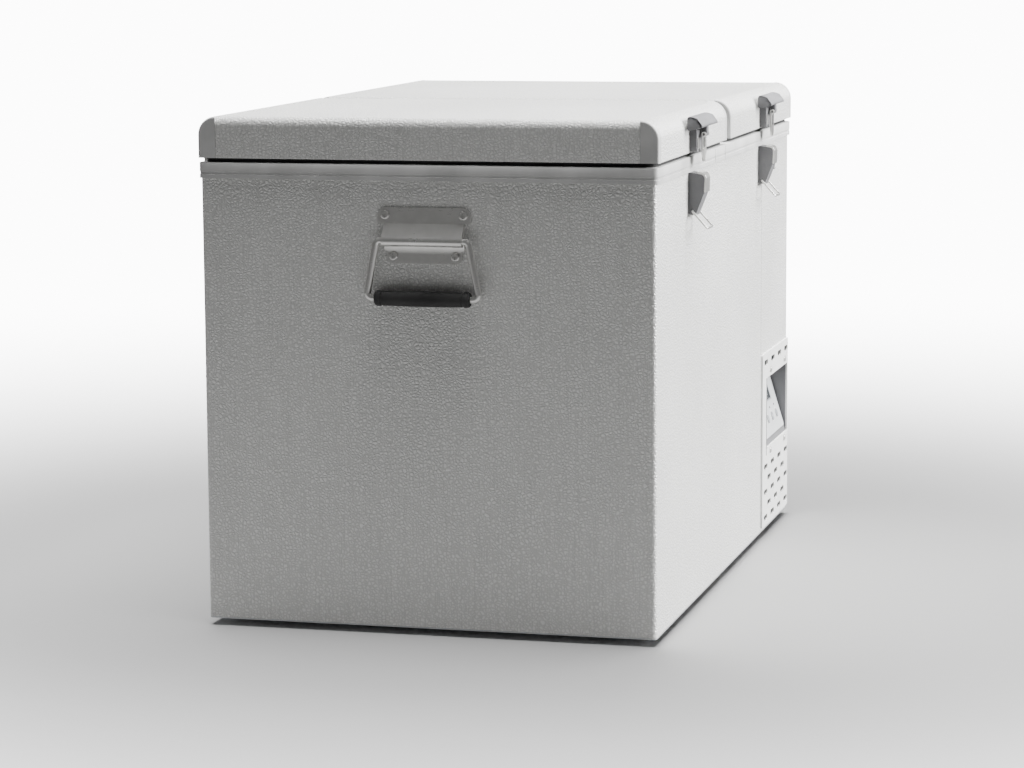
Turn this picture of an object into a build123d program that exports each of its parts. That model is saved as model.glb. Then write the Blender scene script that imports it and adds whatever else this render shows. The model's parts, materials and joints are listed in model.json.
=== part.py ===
from build123d import *
import os
from math import cos, radians, sin, sqrt

os.makedirs("parts", exist_ok=True)

# Twin-lid compressor fridge, millimetres.  +X runs along the length towards the
# compressor bay, the latches face -Y, +Z is up.  The origin is the middle of the
# rectangle that the feet stand in.

# ---- driving dimensions ----
BODY_L = 797.0            # steel cabinet, end to end
BODY_W = 500.0            # steel cabinet, front to back
FOOT_H = 8.0
SHELL_TOP = 490.0         # top of the steel sides
RIM_TOP = 507.0           # top of the plastic rim band
LID_BOTTOM = 511.5
LID_TOP = 556.0
SHEET = 1.2               # steel and liner wall
BASE_T = 1.5
BEND_R = 5.0              # outside bend of the cabinet's upright corners
BAY_X = 213.0             # joint between the cabinet skin and the compressor cover
BAY_CEILING = 262.0       # underside of the foam step over the compressor
RIM_OVER_END = 3.0
RIM_FRONT = -252.5
LID_FRONT = -253.5
RIM_BACK = 251.5          # back of the rim and of both lids
LID_EDGE_R = 20.0         # front and back top edges of a lid
LID_END_R = 11.0          # top edges at a lid's ends, and depth of its corner blocks
LID_CORNER_W = 20.0
LID_LEFT = (-401.5, -30.0)
LID_RIGHT = (-5.0, 401.5)
TUB_Y = 212.0             # half width of both compartments
TUB_FLOOR = 50.0
TUB_LEFT = (-358.0, -50.0)
TUB_RIGHT = (15.0, 358.0)
STEP_X = 172.0            # where the right compartment steps up over the compressor
STEP_Z = 300.0
RIM_JOINTS = (-93.0, -35.0)
LATCH_X = (-222.0, 200.0)
HINGE_Y = 268.0
HINGE_Z = 509.0
HINGE_R = 6.0
HINGE_OFFSET = 80.0       # hinges stand this far each side of a lid's middle
HANDLE_Z = 427.0          # bail axis
HANDLE_P = 10.0           # bail axis, out from the end face
FIT = 0.05                # radial running clearance

HALF_L = BODY_L / 2
HALF_W = BODY_W / 2
SIDE_Z0 = FOOT_H + BASE_T
LID_WALL = 3.0            # lid pan
LID_PLUG_GAP = 9.0        # between a lid's plug and its compartment
LID_PLUG_DROP = 7.0
GASKET_IN = 4.0
GASKET_W = 13.0
CORNER_BLOCK_R = 2.5
FOOT_R = 21.0
FOOT_X, FOOT_Y = 340.0, 205.0
DRAIN = (-320.0, 150.0, 9.0)     # x, y and radius of the drain hole

# vent panel and recess
VENT_X = (216.0, 395.0)
VENT_Z = (13.0, 230.0)
VENT_Y = (-252.2, -HALF_W)
RECESS_X = (244.0, 391.0)
RECESS_Z = (110.0, 198.0)
RECESS_DEPTH = 26.0
SLOT_SIZE = (24.0, 7.0)
SLOT_PITCH = 47.0
WINDOW_INSET = 5.0        # the cover's window, in from the panel's edge
WINDOW_END_X = 392.6
INLETS = {"dc_inlet": (190.0, 72.0), "ac_inlet": (140.0, 72.0)}   # y, z on the end face
INLET_HALF = 15.0

# evaporator
EVAP_Z = (90.0, 440.0)
EVAP_T = 2.0

# control face
SLOPE = (RECESS_Z[1] - RECESS_Z[0], RECESS_DEPTH)
SLOPE_L = sqrt(SLOPE[0] ** 2 + SLOPE[1] ** 2)
SLOPE_SIN = SLOPE[1] / SLOPE_L
SLOPE_COS = SLOPE[0] / SLOPE_L
FACE_T = 1.2
BUTTON_R = 5.5
BUTTON_OUT = 1.4
BUTTON_X = (273.0, 302.0, 331.0, 360.0)
BUTTON_NAMES = ("button_power", "button_down", "button_up", "button_set")
BUTTON_ROW = -18.0        # along the slope from its middle

# cooling unit
COMP_X, COMP_Y, COMP_Z = 303.0, 120.0, 32.0
FAN_X, FAN_Z = 303.0, 112.0
FAN_Y = (-150.0, -118.0)
FAN_R = 55.0
COIL_Y = (-200.0, -164.0)
COIL_Z = (22.0, 212.0)
COIL_X = (228.0, 380.0)

# hinges
LEAF_HALF = 30.0
KNUCKLE_HALF = 10.25
KNUCKLE_GAP = 0.5
PIN_R = 2.5
LEAF_T = 3.0
HINGE_SCREW_DX = 20.0
CABINET_SCREW_Z = 462.0
LID_SCREW_Z = 525.0

# handles
BAIL_R = 3.7
GRIP_R = 8.5
GRIP_HALF = 52.5
BAIL_TOP_Y = 50.5
BAIL_LOW_Y = 62.0
BAIL_DROP = 61.0
HANDLE_PLATE_T = 2.0
BARREL_R = 6.0
BARREL_HALF = 44.0
HANDLE_SCREWS = ((-43.0, 454.0), (43.0, 454.0), (-34.0, 410.5), (34.0, 410.5))

# latches
HOOD_P, HOOD_Z = 5.0, 546.0      # hood pivot, out from the lid's front face
HOOD_HALF = 43.0
EAR_R = 3.5
HOOD_PIN_R = 1.8
TONGUE_P, TONGUE_Z = 13.0, 531.0
TONGUE_PIN_R = 1.5
CATCH_P, CATCH_Z = 5.0, 448.0    # loop pivot, out from the cabinet's front face
LOOP_R = 1.2
LOOP_REACH = 25.0
LOOP_TILT = 42.0                 # from straight down, outwards
HOOD_LIP_P = 20.5                # furthest point of the hood
LATCH_BASE_HALF = 23.0
LATCH_BASE_P = 8.0
TONGUE_HALF = 10.0
TONGUE_SLOT_HALF = 5.8
TONGUE_P_RANGE = (10.4, 12.0)
TONGUE_END_Z = 501.0
CATCH_HALF = 12.0
HOOK_HALF = 11.0
LOOP_ARM_X = 15.0


def save(node, shape):
    """Write one sub-part."""
    export_step(shape, f"parts/{node}.step")


cabinet_screws = []                          # every screw fixed to the cabinet
lid_fasteners = {"left": [], "right": []}    # screws and pins fixed to each lid


def group(solids):
    """Hold separate solids together in one node."""
    return Compound(children=list(solids))


def block(x0, x1, y0, y1, z0, z1):
    """A box given by its limits."""
    middle = Pos((x0 + x1) / 2, (y0 + y1) / 2, (z0 + z1) / 2)
    return middle * Box(x1 - x0, y1 - y0, z1 - z0)


def rod_x(x0, x1, y, z, r):
    """A round rod along X."""
    return Pos((x0 + x1) / 2, y, z) * Rot(0, 90, 0) * Cylinder(r, x1 - x0)


def rod_y(y0, y1, x, z, r):
    """A round rod along Y."""
    return Pos(x, (y0 + y1) / 2, z) * Rot(90, 0, 0) * Cylinder(r, y1 - y0)


def rod_z(z0, z1, x, y, r):
    """A round rod along Z."""
    return Pos(x, y, (z0 + z1) / 2) * Cylinder(r, z1 - z0)


def outline(points, radii=None):
    """A flat face through the points, with the numbered corners rounded."""
    corners = [Vector(u, v, 0) for u, v in points]
    face = Face(Wire.make_polygon(corners, close=True))
    for index, radius in (radii or {}).items():
        vertex = min(face.vertices(), key=lambda v: (Vector(*v) - corners[index]).length)
        face = face.fillet_2d(radius, [vertex])
    return face if face.normal_at().Z > 0 else -face


def along_x(face, x0, x1):
    """Extrude a (y, z) outline from x0 to x1."""
    plane = Plane(origin=(x0, 0, 0), x_dir=(0, 1, 0), z_dir=(1, 0, 0))
    return extrude(plane * face, amount=x1 - x0)


def along_y(face, y0, y1):
    """Extrude an (x, z) outline from y0 to y1."""
    plane = Plane(origin=(0, y1, 0), x_dir=(1, 0, 0), z_dir=(0, -1, 0))
    return extrude(plane * face, amount=y1 - y0)


def along_z(face, z0, z1):
    """Extrude an (x, y) outline from z0 to z1."""
    return extrude(Plane(origin=(0, 0, z0)) * face, amount=z1 - z0)


def box_outline(u0, u1, v0, v1, radii=None):
    """A flat rectangle with the numbered corners rounded."""
    return outline([(u0, v0), (u1, v0), (u1, v1), (u0, v1)], radii)


def slot_cut(x, z, length, height, y0, y1):
    """An upright-faced cutter for one round-ended slot."""
    ends = {0: height / 2 - 0.01, 1: height / 2 - 0.01, 2: height / 2 - 0.01, 3: height / 2 - 0.01}
    face = box_outline(x - length / 2, x + length / 2, z - height / 2, z + height / 2, ends)
    return along_y(face, y0, y1)


def pan_screw(head_r, head_h, shank_r, shank_l):
    """A cross-recess screw, head outwards along +Z, seat at z = 0."""
    head = Pos(0, 0, head_h / 2) * Cylinder(head_r, head_h)
    head = fillet(head.edges().group_by(Axis.Z)[-1], head_h * 0.6)
    shank = Pos(0, 0, -shank_l / 2) * Cylinder(shank_r, shank_l)
    arm = head_r * 1.1
    cross = Box(arm, head_r * 0.22, head_h) + Box(head_r * 0.22, arm, head_h)
    return head + shank - Pos(0, 0, head_h) * cross


# ---- cabinet ----
def build_base():
    """Base pan, four feet and their screws."""
    corners = {0: BEND_R, 1: BEND_R, 2: BEND_R, 3: BEND_R}
    plan = box_outline(-HALF_L, HALF_L, -HALF_W, HALF_W, corners)
    pan = along_z(plan, FOOT_H, SIDE_Z0)
    foot_spots = [(sx * FOOT_X, sy * FOOT_Y) for sx in (-1, 1) for sy in (-1, 1)]
    feet = []
    for x, y in foot_spots:
        foot = Pos(x, y, FOOT_H / 2) * Cylinder(FOOT_R, FOOT_H)
        foot = chamfer(foot.edges().group_by(Axis.Z)[0], 2.0)
        foot = foot - rod_z(0, 4.5, x, y, 7.0) - rod_z(0, FOOT_H, x, y, 2.5)
        feet.append(foot)
        screw = pan_screw(5.0, 2.8, 2.5, SIDE_Z0 - 4.5)
        cabinet_screws.append(Pos(x, y, 4.5) * Rot(180, 0, 0) * screw)
        pan = pan - rod_z(FOOT_H, SIDE_Z0, x, y, 2.5)
    drain_x, drain_y, drain_r = DRAIN
    pan = pan - rod_z(FOOT_H, SIDE_Z0, drain_x, drain_y, drain_r)
    save("base_pan", pan)
    save("feet", group(feet))


def skin_between(x0, x1):
    """The steel skin, bent round the upright corners, from x0 to x1."""
    outer = box_outline(-HALF_L, HALF_L, -HALF_W, HALF_W, {i: BEND_R for i in range(4)})
    inner = box_outline(-HALF_L + SHEET, HALF_L - SHEET, -HALF_W + SHEET, HALF_W - SHEET,
                        {i: BEND_R - SHEET for i in range(4)})
    ring = along_z(outer, SIDE_Z0, SHELL_TOP) - along_z(inner, SIDE_Z0, SHELL_TOP)
    return ring & block(x0, x1, -HALF_W, HALF_W, SIDE_Z0, SHELL_TOP)


def build_skins():
    """Cabinet skin, and the vented cover over the compressor bay."""
    save("outer_shell", skin_between(-HALF_L, BAY_X))

    flat = HALF_L - BEND_R
    cover_x0 = BAY_X + 0.6
    sides = skin_between(cover_x0, flat)
    front = sides & block(cover_x0, flat, -HALF_W, 0, SIDE_Z0, SHELL_TOP)
    back = sides & block(cover_x0, flat, 0, HALF_W, SIDE_Z0, SHELL_TOP)
    win_x0, win_x1 = VENT_X[0] + WINDOW_INSET, WINDOW_END_X
    win_z0, win_z1 = VENT_Z[0] + WINDOW_INSET, VENT_Z[1] - WINDOW_INSET
    deep = (-HALF_W, -HALF_W + SHEET)
    strips = [front & block(cover_x0, win_x0, *deep, SIDE_Z0, SHELL_TOP),
              front & block(win_x1, flat, *deep, SIDE_Z0, SHELL_TOP),
              front & block(win_x0, win_x1, *deep, SIDE_Z0, win_z0),
              front & block(win_x0, win_x1, *deep, win_z1, SHELL_TOP)]
    for row in range(8):
        for x in (262.0, 345.0):
            back = back - slot_cut(x, 60.0 + 22.0 * row, 58.0, 6.0, HALF_W - 3, HALF_W + 1)

    end = skin_between(flat, HALF_L)
    for row in range(9):
        for y in (-120.0, -40.0, 40.0):
            z = 52.0 + 22.0 * row
            end = end - Rot(0, 0, 90) * slot_cut(y, z, 58.0, 6.0, -HALF_L - 1, -HALF_L + SHEET + 1)
    for y, z in INLETS.values():
        hole = INLET_HALF - 3
        end = end - block(HALF_L - 2, HALF_L + 1, y - hole, y + hole, z - hole, z + hole)

    for x in (240.0, 303.0, 366.0):
        back = back - rod_y(HALF_W - SHEET, HALF_W, x, 30.0, 1.9)
        spot = Pos(x, HALF_W, 30.0) * Rot(-90, 0, 0)
        cabinet_screws.append(spot * pan_screw(4.0, 2.0, 1.9, SHEET))
    save("compressor_cover", group([*strips, end, back]))


def tub_shape(grow):
    """Both compartments as solid plugs, grown outwards by the wall given."""
    top = SHELL_TOP
    y0 = -TUB_Y - grow
    y1 = TUB_Y + grow
    floor = TUB_FLOOR - grow
    left = block(TUB_LEFT[0] - grow, TUB_LEFT[1] + grow, y0, y1, floor, top)
    right = block(TUB_RIGHT[0] - grow, STEP_X + grow, y0, y1, floor, top)
    right = right + block(STEP_X, TUB_RIGHT[1] + grow, y0, y1, STEP_Z - grow, top)
    return left, right


def foam_slabs(foam):
    """The insulation as the flat slabs that stand round the two compartments."""
    a, b = TUB_LEFT[0] - SHEET, TUB_LEFT[1] + SHEET
    c, d = TUB_RIGHT[0] - SHEET, TUB_RIGHT[1] + SHEET
    step = STEP_X + SHEET
    wall = TUB_Y + SHEET
    floor = TUB_FLOOR - SHEET
    shelf = STEP_Z - SHEET
    far = HALF_L
    low, high = SIDE_Z0, SHELL_TOP
    wide = (-HALF_W, HALF_W)
    front = (-HALF_W, -wall)
    back = (wall, HALF_W)
    limits = [
        ((-far, a), wide, (low, high)),
        ((a, b), front, (low, high)),
        ((a, b), back, (low, high)),
        ((a, b), (-wall, wall), (low, floor)),
        ((b, c), wide, (low, high)),
        ((c, step), front, (low, high)),
        ((c, step), back, (low, high)),
        ((c, step), (-wall, wall), (low, floor)),
        ((step, BAY_X), wide, (low, shelf)),
        ((BAY_X, far), wide, (low, shelf)),
        ((step, d), front, (shelf, high)),
        ((step, d), back, (shelf, high)),
        ((d, far), wide, (shelf, high)),
    ]
    slabs = []
    for x, y, z in limits:
        slabs.extend((foam & block(*x, *y, *z)).solids())
    return slabs


def build_insulation():
    """Foam, evaporator plates behind the liners, the liners and the drain plug."""
    inset = SHEET
    foam = block(-HALF_L + inset, BAY_X - 1, -HALF_W + inset, HALF_W - inset, SIDE_Z0, SHELL_TOP)
    foam = foam + block(BAY_X - 1, HALF_L - inset, -HALF_W + inset, HALF_W - inset,
                        BAY_CEILING, SHELL_TOP)
    upright = foam.edges().filter_by(Axis.Z)
    corners = [e for e in upright if abs(e.center().X) > HALF_L - 2 and abs(e.center().Y) > HALF_W - 2]
    foam = fillet(corners, BEND_R - SHEET)
    left, right = tub_shape(SHEET)
    foam = foam - left - right
    plates = {}
    for name, (x0, x1), z0 in (("evaporator_left", (-330.0, -80.0), EVAP_Z[0]),
                               ("evaporator_right", (45.0, 330.0), STEP_Z + 25)):
        y0 = TUB_Y + SHEET
        plate = block(x0, x1, y0, y0 + EVAP_T, z0, EVAP_Z[1])
        channels = []
        rows = int((EVAP_Z[1] - z0 - 20) // 28)
        for row in range(rows):
            z = z0 + 20 + 28.0 * row
            channels.append(rod_x(x0 + 12, x1 - 12, y0 + EVAP_T, z, 3.0))
        for rod in channels:
            plate = plate + (rod & block(x0, x1, y0 + EVAP_T, y0 + 10, z0, EVAP_Z[1]))
        plates[name] = plate
        foam = foam - block(x0, x1, y0, y0 + EVAP_T + 3.2, z0, EVAP_Z[1])
    drain_x, drain_y, drain_r = DRAIN
    foam = foam - rod_z(SIDE_Z0, TUB_FLOOR, drain_x, drain_y, drain_r)
    save("foam_body", group(foam_slabs(foam)))
    save("evaporators", group(plates.values()))

    left_in, right_in = tub_shape(0.0)
    liner_left = left - left_in - rod_z(0, TUB_FLOOR, drain_x, drain_y, drain_r)
    save("inner_liners", group([liner_left, right - right_in]))

    plug = rod_z(FOOT_H, FOOT_H + 14, drain_x, drain_y, drain_r)
    plug = plug + rod_z(FOOT_H - 3, FOOT_H, drain_x, drain_y, drain_r + 3)
    save("drain_plug", plug)


def build_rim():
    """The rim band, made up from straight lengths that butt together."""
    x0 = -HALF_L - RIM_OVER_END
    x1 = HALF_L + RIM_OVER_END
    plan = box_outline(x0, x1, RIM_FRONT, RIM_BACK, {i: 6.0 for i in range(4)})
    slab = along_z(plan, SHELL_TOP, RIM_TOP)
    slab = fillet(slab.edges().group_by(Axis.Z)[-1], 1.5)
    tall = (SHELL_TOP, RIM_TOP)
    joints = (TUB_LEFT[0], *RIM_JOINTS, TUB_RIGHT[1])
    lengths = [slab & block(x0, joints[0], RIM_FRONT, RIM_BACK, *tall),
               slab & block(joints[-1], x1, RIM_FRONT, RIM_BACK, *tall),
               block(TUB_LEFT[1], TUB_RIGHT[0], -TUB_Y, TUB_Y, *tall)]
    for a, b in zip(joints, joints[1:]):
        lengths.append(slab & block(a, b, RIM_FRONT, -TUB_Y, *tall))
        lengths.append(slab & block(a, b, TUB_Y, RIM_BACK, *tall))
    save("rim_bands", group(lengths))


# ---- control recess ----
def slope_plane(offset=0.0):
    """The slanted control face: local x along +X, local y up the slope, z outwards."""
    middle = ((RECESS_X[0] + RECESS_X[1]) / 2, -HALF_W + RECESS_DEPTH / 2,
              (RECESS_Z[0] + RECESS_Z[1]) / 2)
    normal = Vector(0, -SLOPE_COS, SLOPE_SIN)
    origin = Vector(*middle) + normal * offset
    return Plane(origin=origin, x_dir=(1, 0, 0), z_dir=normal)


def build_controls():
    """Vent panel, and the slanted control face in its recess."""
    # front plate with its slots
    plate_face = box_outline(*VENT_X, *VENT_Z, {i: 3.0 for i in range(4)})
    plate = along_y(plate_face, *VENT_Y)
    full_row = [239.0 + SLOT_PITCH * i for i in range(4)]
    half_row = [262.5 + SLOT_PITCH * i for i in range(3)]
    rows = [(218.0, full_row), (87.0, full_row), (71.0, half_row), (55.0, full_row),
            (39.0, half_row), (23.0, full_row)]
    for z, centres in rows:
        for x in centres:
            plate = plate - slot_cut(x, z, *SLOT_SIZE, VENT_Y[0] - 1, VENT_Y[1] + 1)
    hole = box_outline(*RECESS_X, *RECESS_Z, {i: 2.0 for i in range(4)})
    plate = plate - along_y(hole, VENT_Y[0] - 1, VENT_Y[1] + 1)
    for x in (268.0, 367.0):
        for z in (104.0, 206.0):
            plate = plate - rod_y(*VENT_Y, x, z, 1.5)
            spot = Pos(x, VENT_Y[0], z) * Rot(90, 0, 0)
            cabinet_screws.append(spot * pan_screw(3.9, 1.8, 1.5, VENT_Y[1] - VENT_Y[0]))
    save("vent_panel", plate)

    # housing behind the plate: two cheeks, a ceiling and the slanted floor
    x0, x1 = RECESS_X
    z0, z1 = RECESS_Z
    lip = 1.8
    front = -HALF_W
    deep = front + RECESS_DEPTH
    outer = outline([(front, z0 - 6), (front, z1 + lip), (deep + 3, z1 + lip),
                     (deep + 3, z1 - 3), (front + 4, z0 - 6)])
    inner = outline([(front - 1, z0 - 1 / SLOPE_SIN * SLOPE_COS), (front - 1, z1), (deep, z1),
                     (front, z0)])
    housing = along_x(outer, x0 - lip, x1 + 1.2) - along_x(inner, x0, x1)
    holes = []
    for x in BUTTON_X:
        local = (x - (x0 + x1) / 2, BUTTON_ROW, 0)
        spot = slope_plane() * Pos(*local)
        holes.append(spot * Cylinder(BUTTON_R + FIT, 20))
    for cut in holes:
        housing = housing - cut
    save("control_housing", housing)

    face = slope_plane() * Pos(0, 0, FACE_T / 2) * Box(140, 76, FACE_T)
    face = fillet(face.edges().filter_by(lambda e: abs(e.length - FACE_T) < 0.01), 4.0)
    display = slope_plane(FACE_T) * Pos(0, 17, 0.4) * Box(64, 26, 0.8)
    display = fillet(display.edges().filter_by(lambda e: abs(e.length - 0.8) < 0.01), 2.0)
    for cut in holes:
        face = face - cut
    save("control_face", face)
    save("display_window", display)

    for name, x in zip(BUTTON_NAMES, BUTTON_X):
        spot = slope_plane() * Pos(x - (x0 + x1) / 2, BUTTON_ROW, 0)
        length = FACE_T + BUTTON_OUT + 4.2
        stem = Pos(0, 0, FACE_T + BUTTON_OUT - length / 2) * Cylinder(BUTTON_R, length)
        stem = fillet(stem.edges().group_by(Axis.Z)[-1], 1.0)
        save(name, spot * stem)

    board = slope_plane(-9.5) * Pos(0, -4, 0) * Box(120, 56, 1.6)
    save("control_board", board)


def build_badge():
    """A blank round domed plug on the cover."""
    centre = Pos(300.0, -HALF_W, 465.0) * Rot(90, 0, 0)
    disc = Pos(0, 0, 1.5) * Cylinder(11.0, 3.0)
    disc = fillet(disc.edges().group_by(Axis.Z)[-1], 2.6)
    save("blank_badge", centre * disc)


# ---- cooling unit ----
def build_cooling():
    """Compressor, controller, condenser, fan and pipes."""
    pot = Pos(COMP_X, COMP_Y, COMP_Z + 60) * Cylinder(58.0, 120.0)
    pot = fillet(pot.edges().group_by(Axis.Z)[0], 22.0)
    pot = fillet(pot.edges().group_by(Axis.Z)[-1], 34.0)
    pot = pot + Pos(COMP_X, COMP_Y, COMP_Z + 66) * Cylinder(60.5, 5.0)
    pot = pot + block(COMP_X - 70, COMP_X + 70, COMP_Y - 18, COMP_Y + 18, COMP_Z, COMP_Z + 4)
    pot = pot + rod_z(COMP_Z + 110, COMP_Z + 132, COMP_X - 25, COMP_Y, 4.0)
    save("compressor", pot)

    grommets = []
    for sx in (-62, 62):
        grommets.append(rod_z(SIDE_Z0, COMP_Z, COMP_X + sx, COMP_Y, 8.0))
    save("compressor_grommets", group(grommets))

    unit = block(COMP_X - 40, COMP_X + 40, COMP_Y - 96, COMP_Y - 62, COMP_Z + 20, COMP_Z + 100)
    fins = [block(COMP_X - 38 + 8 * i, COMP_X - 36 + 8 * i, COMP_Y - 102, COMP_Y - 96,
                  COMP_Z + 22, COMP_Z + 98) for i in range(10)]
    for fin in fins:
        unit = unit + fin
    save("compressor_controller", unit)

    core = block(COIL_X[0], COIL_X[0] + 1.5, *COIL_Y, *COIL_Z)
    core = core + block(COIL_X[1] - 1.5, COIL_X[1], *COIL_Y, *COIL_Z)
    core = core + block(*COIL_X, COIL_Y[0], COIL_Y[1], COIL_Z[0], COIL_Z[0] + 1.5)
    pitch = 6.0
    count = int((COIL_X[1] - COIL_X[0] - 6) // pitch)
    for i in range(count):
        x = COIL_X[0] + 4 + pitch * i
        core = core + block(x, x + 0.6, COIL_Y[0] + 2, COIL_Y[1] - 2, COIL_Z[0], COIL_Z[1] - 4)
    tube_r = 4.0
    tube_y = (COIL_Y[0] + COIL_Y[1]) / 2
    rows = 8
    bend = 6.0
    step = (COIL_Z[1] - COIL_Z[0] - 24) / (rows - 1)
    serpent = None
    for i in range(rows):
        z = COIL_Z[0] + 14 + step * i
        run = rod_x(COIL_X[0] - bend, COIL_X[1] + bend, tube_y, z, tube_r)
        core = core - rod_x(COIL_X[0] - 3, COIL_X[1] + 3, tube_y, z, tube_r + 0.02)
        serpent = run if serpent is None else serpent + run
        if i < rows - 1:
            right = i % 2 == 0
            x = COIL_X[1] + bend if right else COIL_X[0] - bend
            serpent = serpent + rod_z(z, z + step, x, tube_y, tube_r)
    save("condenser_fins", group(core.solids()))

    half = FAN_R + 8
    shroud = block(FAN_X - half, FAN_X + half, FAN_Y[0], FAN_Y[1], FAN_Z - half, FAN_Z + half)
    shroud = shroud - rod_y(FAN_Y[0] - 1, FAN_Y[1] + 1, FAN_X, FAN_Z, FAN_R + 2)
    for turn in (45, 135):
        bar = Pos(FAN_X, FAN_Y[1] - 2, FAN_Z) * Rot(0, turn, 0) * Box(2 * FAN_R + 8, 4, 8)
        shroud = shroud + bar
    shroud = shroud + rod_y(FAN_Y[1] - 4, FAN_Y[1], FAN_X, FAN_Z, 20)
    shroud = shroud - rod_y(FAN_Y[1] - 5, FAN_Y[1] + 1, FAN_X, FAN_Z, 16)
    shroud = shroud + rod_y(FAN_Y[1] - 4, FAN_Y[1], FAN_X, FAN_Z, 16)
    save("fan_shroud", shroud)
    motor = rod_y(FAN_Y[1] - 14, FAN_Y[1] - 4, FAN_X, FAN_Z, 14)
    motor = motor + rod_y(FAN_Y[0] + 8, FAN_Y[1] - 14, FAN_X, FAN_Z, 2.0)
    save("fan_motor", motor)
    hub = rod_y(FAN_Y[0] + 4, FAN_Y[1] - 15, FAN_X, FAN_Z, 18)
    hub = hub - rod_y(FAN_Y[0] + 6, FAN_Y[1], FAN_X, FAN_Z, 2.0 + FIT)
    limit = rod_y(FAN_Y[0] + 3, FAN_Y[1] - 14.5, FAN_X, FAN_Z, FAN_R)
    mid_y = (FAN_Y[0] + 4 + FAN_Y[1] - 15) / 2
    blades = 7
    for i in range(blades):
        turn = 360.0 / blades * i
        blade = Rot(0, turn, 0) * Pos(36, 0, 0) * Rot(32, 0, 0) * Box(42, 1.8, 24)
        hub = hub + ((Pos(FAN_X, mid_y, FAN_Z) * blade) & limit)
    save("fan_rotor", hub)

    suction = FilletPolyline((COMP_X - 58, COMP_Y, 100), (COMP_X - 78, COMP_Y, 100),
                             (COMP_X - 78, COMP_Y, 240), (COMP_X - 78, 20, 240),
                             (COMP_X - 78, 20, BAY_CEILING), radius=8)
    pipe = sweep(Plane(origin=suction @ 0, z_dir=suction % 0) * Circle(3.5), path=suction)
    pipe = pipe - pot
    drier = rod_y(-60, 10, COMP_X + 66, 190, 9.0)
    drier = fillet(drier.edges(), 6.0)
    save("refrigerant_lines", group([serpent, pipe, drier]))


def build_inlets():
    """The two power inlets on the far end."""
    inlets = []
    for name, (y, z) in INLETS.items():
        half = INLET_HALF
        flange = block(HALF_L, HALF_L + 2, y - half, y + half, z - half, z + half)
        flange = fillet(flange.edges().filter_by(Axis.X), 3.0)
        hole = INLET_HALF - 3
        body = block(HALF_L - 22, HALF_L, y - hole, y + hole, z - hole, z + hole)
        inlet = flange + body
        if name == "dc_inlet":
            recess = rod_x(HALF_L - 1.4, HALF_L + 3, y, z, 8.0)
            pins = [rod_x(HALF_L - 2, HALF_L + 1, y + s * 3.5, z, 1.6) for s in (-1, 1)]
        else:
            recess = block(HALF_L - 1.4, HALF_L + 3, y - 9, y + 9, z - 7, z + 7)
            pins = [block(HALF_L - 2, HALF_L + 1, y + dy - 1, y + dy + 1, z + dz - 2, z + dz + 2)
                    for dy, dz in ((-5, -2), (0, 3), (5, -2))]
        inlet = inlet - recess
        for pin in pins:
            inlet = inlet + pin
        inlets.append(inlet)
    save("power_inlets", group(inlets))


# ---- lids ----
def lid_solid(x0, x1, inset):
    """A closed lid shape, drawn in from the outside by inset on every face but the bottom."""
    edge_r = LID_EDGE_R - inset
    end_r = LID_END_R - inset
    y0 = LID_FRONT + inset
    y1 = RIM_BACK - inset
    a = x0 + inset
    b = x1 - inset
    top = LID_TOP - inset
    across = along_x(box_outline(y0, y1, LID_BOTTOM, top, {2: edge_r, 3: edge_r}), a, b)
    along = along_y(box_outline(a, b, LID_BOTTOM, top, {2: end_r, 3: end_r}), y0, y1)
    return across & along


def corner_blocks(x0, x1):
    """Four moulded corner blocks: square-ended, with the lid's front and back roundings."""
    across = along_x(box_outline(LID_FRONT, RIM_BACK, LID_BOTTOM, LID_TOP,
                                 {2: LID_EDGE_R, 3: LID_EDGE_R}), x0, x1)
    spots = []
    for a, b in ((x0, x0 + LID_END_R), (x1 - LID_END_R, x1)):
        spots.append(block(a, b, LID_FRONT, LID_FRONT + LID_CORNER_W, LID_BOTTOM, LID_TOP))
        spots.append(block(a, b, RIM_BACK - LID_CORNER_W, RIM_BACK, LID_BOTTOM, LID_TOP))
    solids = []
    for spot in spots:
        piece = (across & spot).solids()[0]
        outer_x = x0 if piece.center().X < (x0 + x1) / 2 else x1
        inner_y = LID_FRONT + LID_CORNER_W if piece.center().Y < 0 else RIM_BACK - LID_CORNER_W
        rounded = [e for e in piece.edges() if abs(e.center().X - outer_x) < 0.01
                   and e.center().Z > LID_BOTTOM + 1 and abs(e.center().Y - inner_y) > 0.5]
        solids.append(fillet(rounded, CORNER_BLOCK_R).solids()[0])
    return spots, solids


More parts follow.
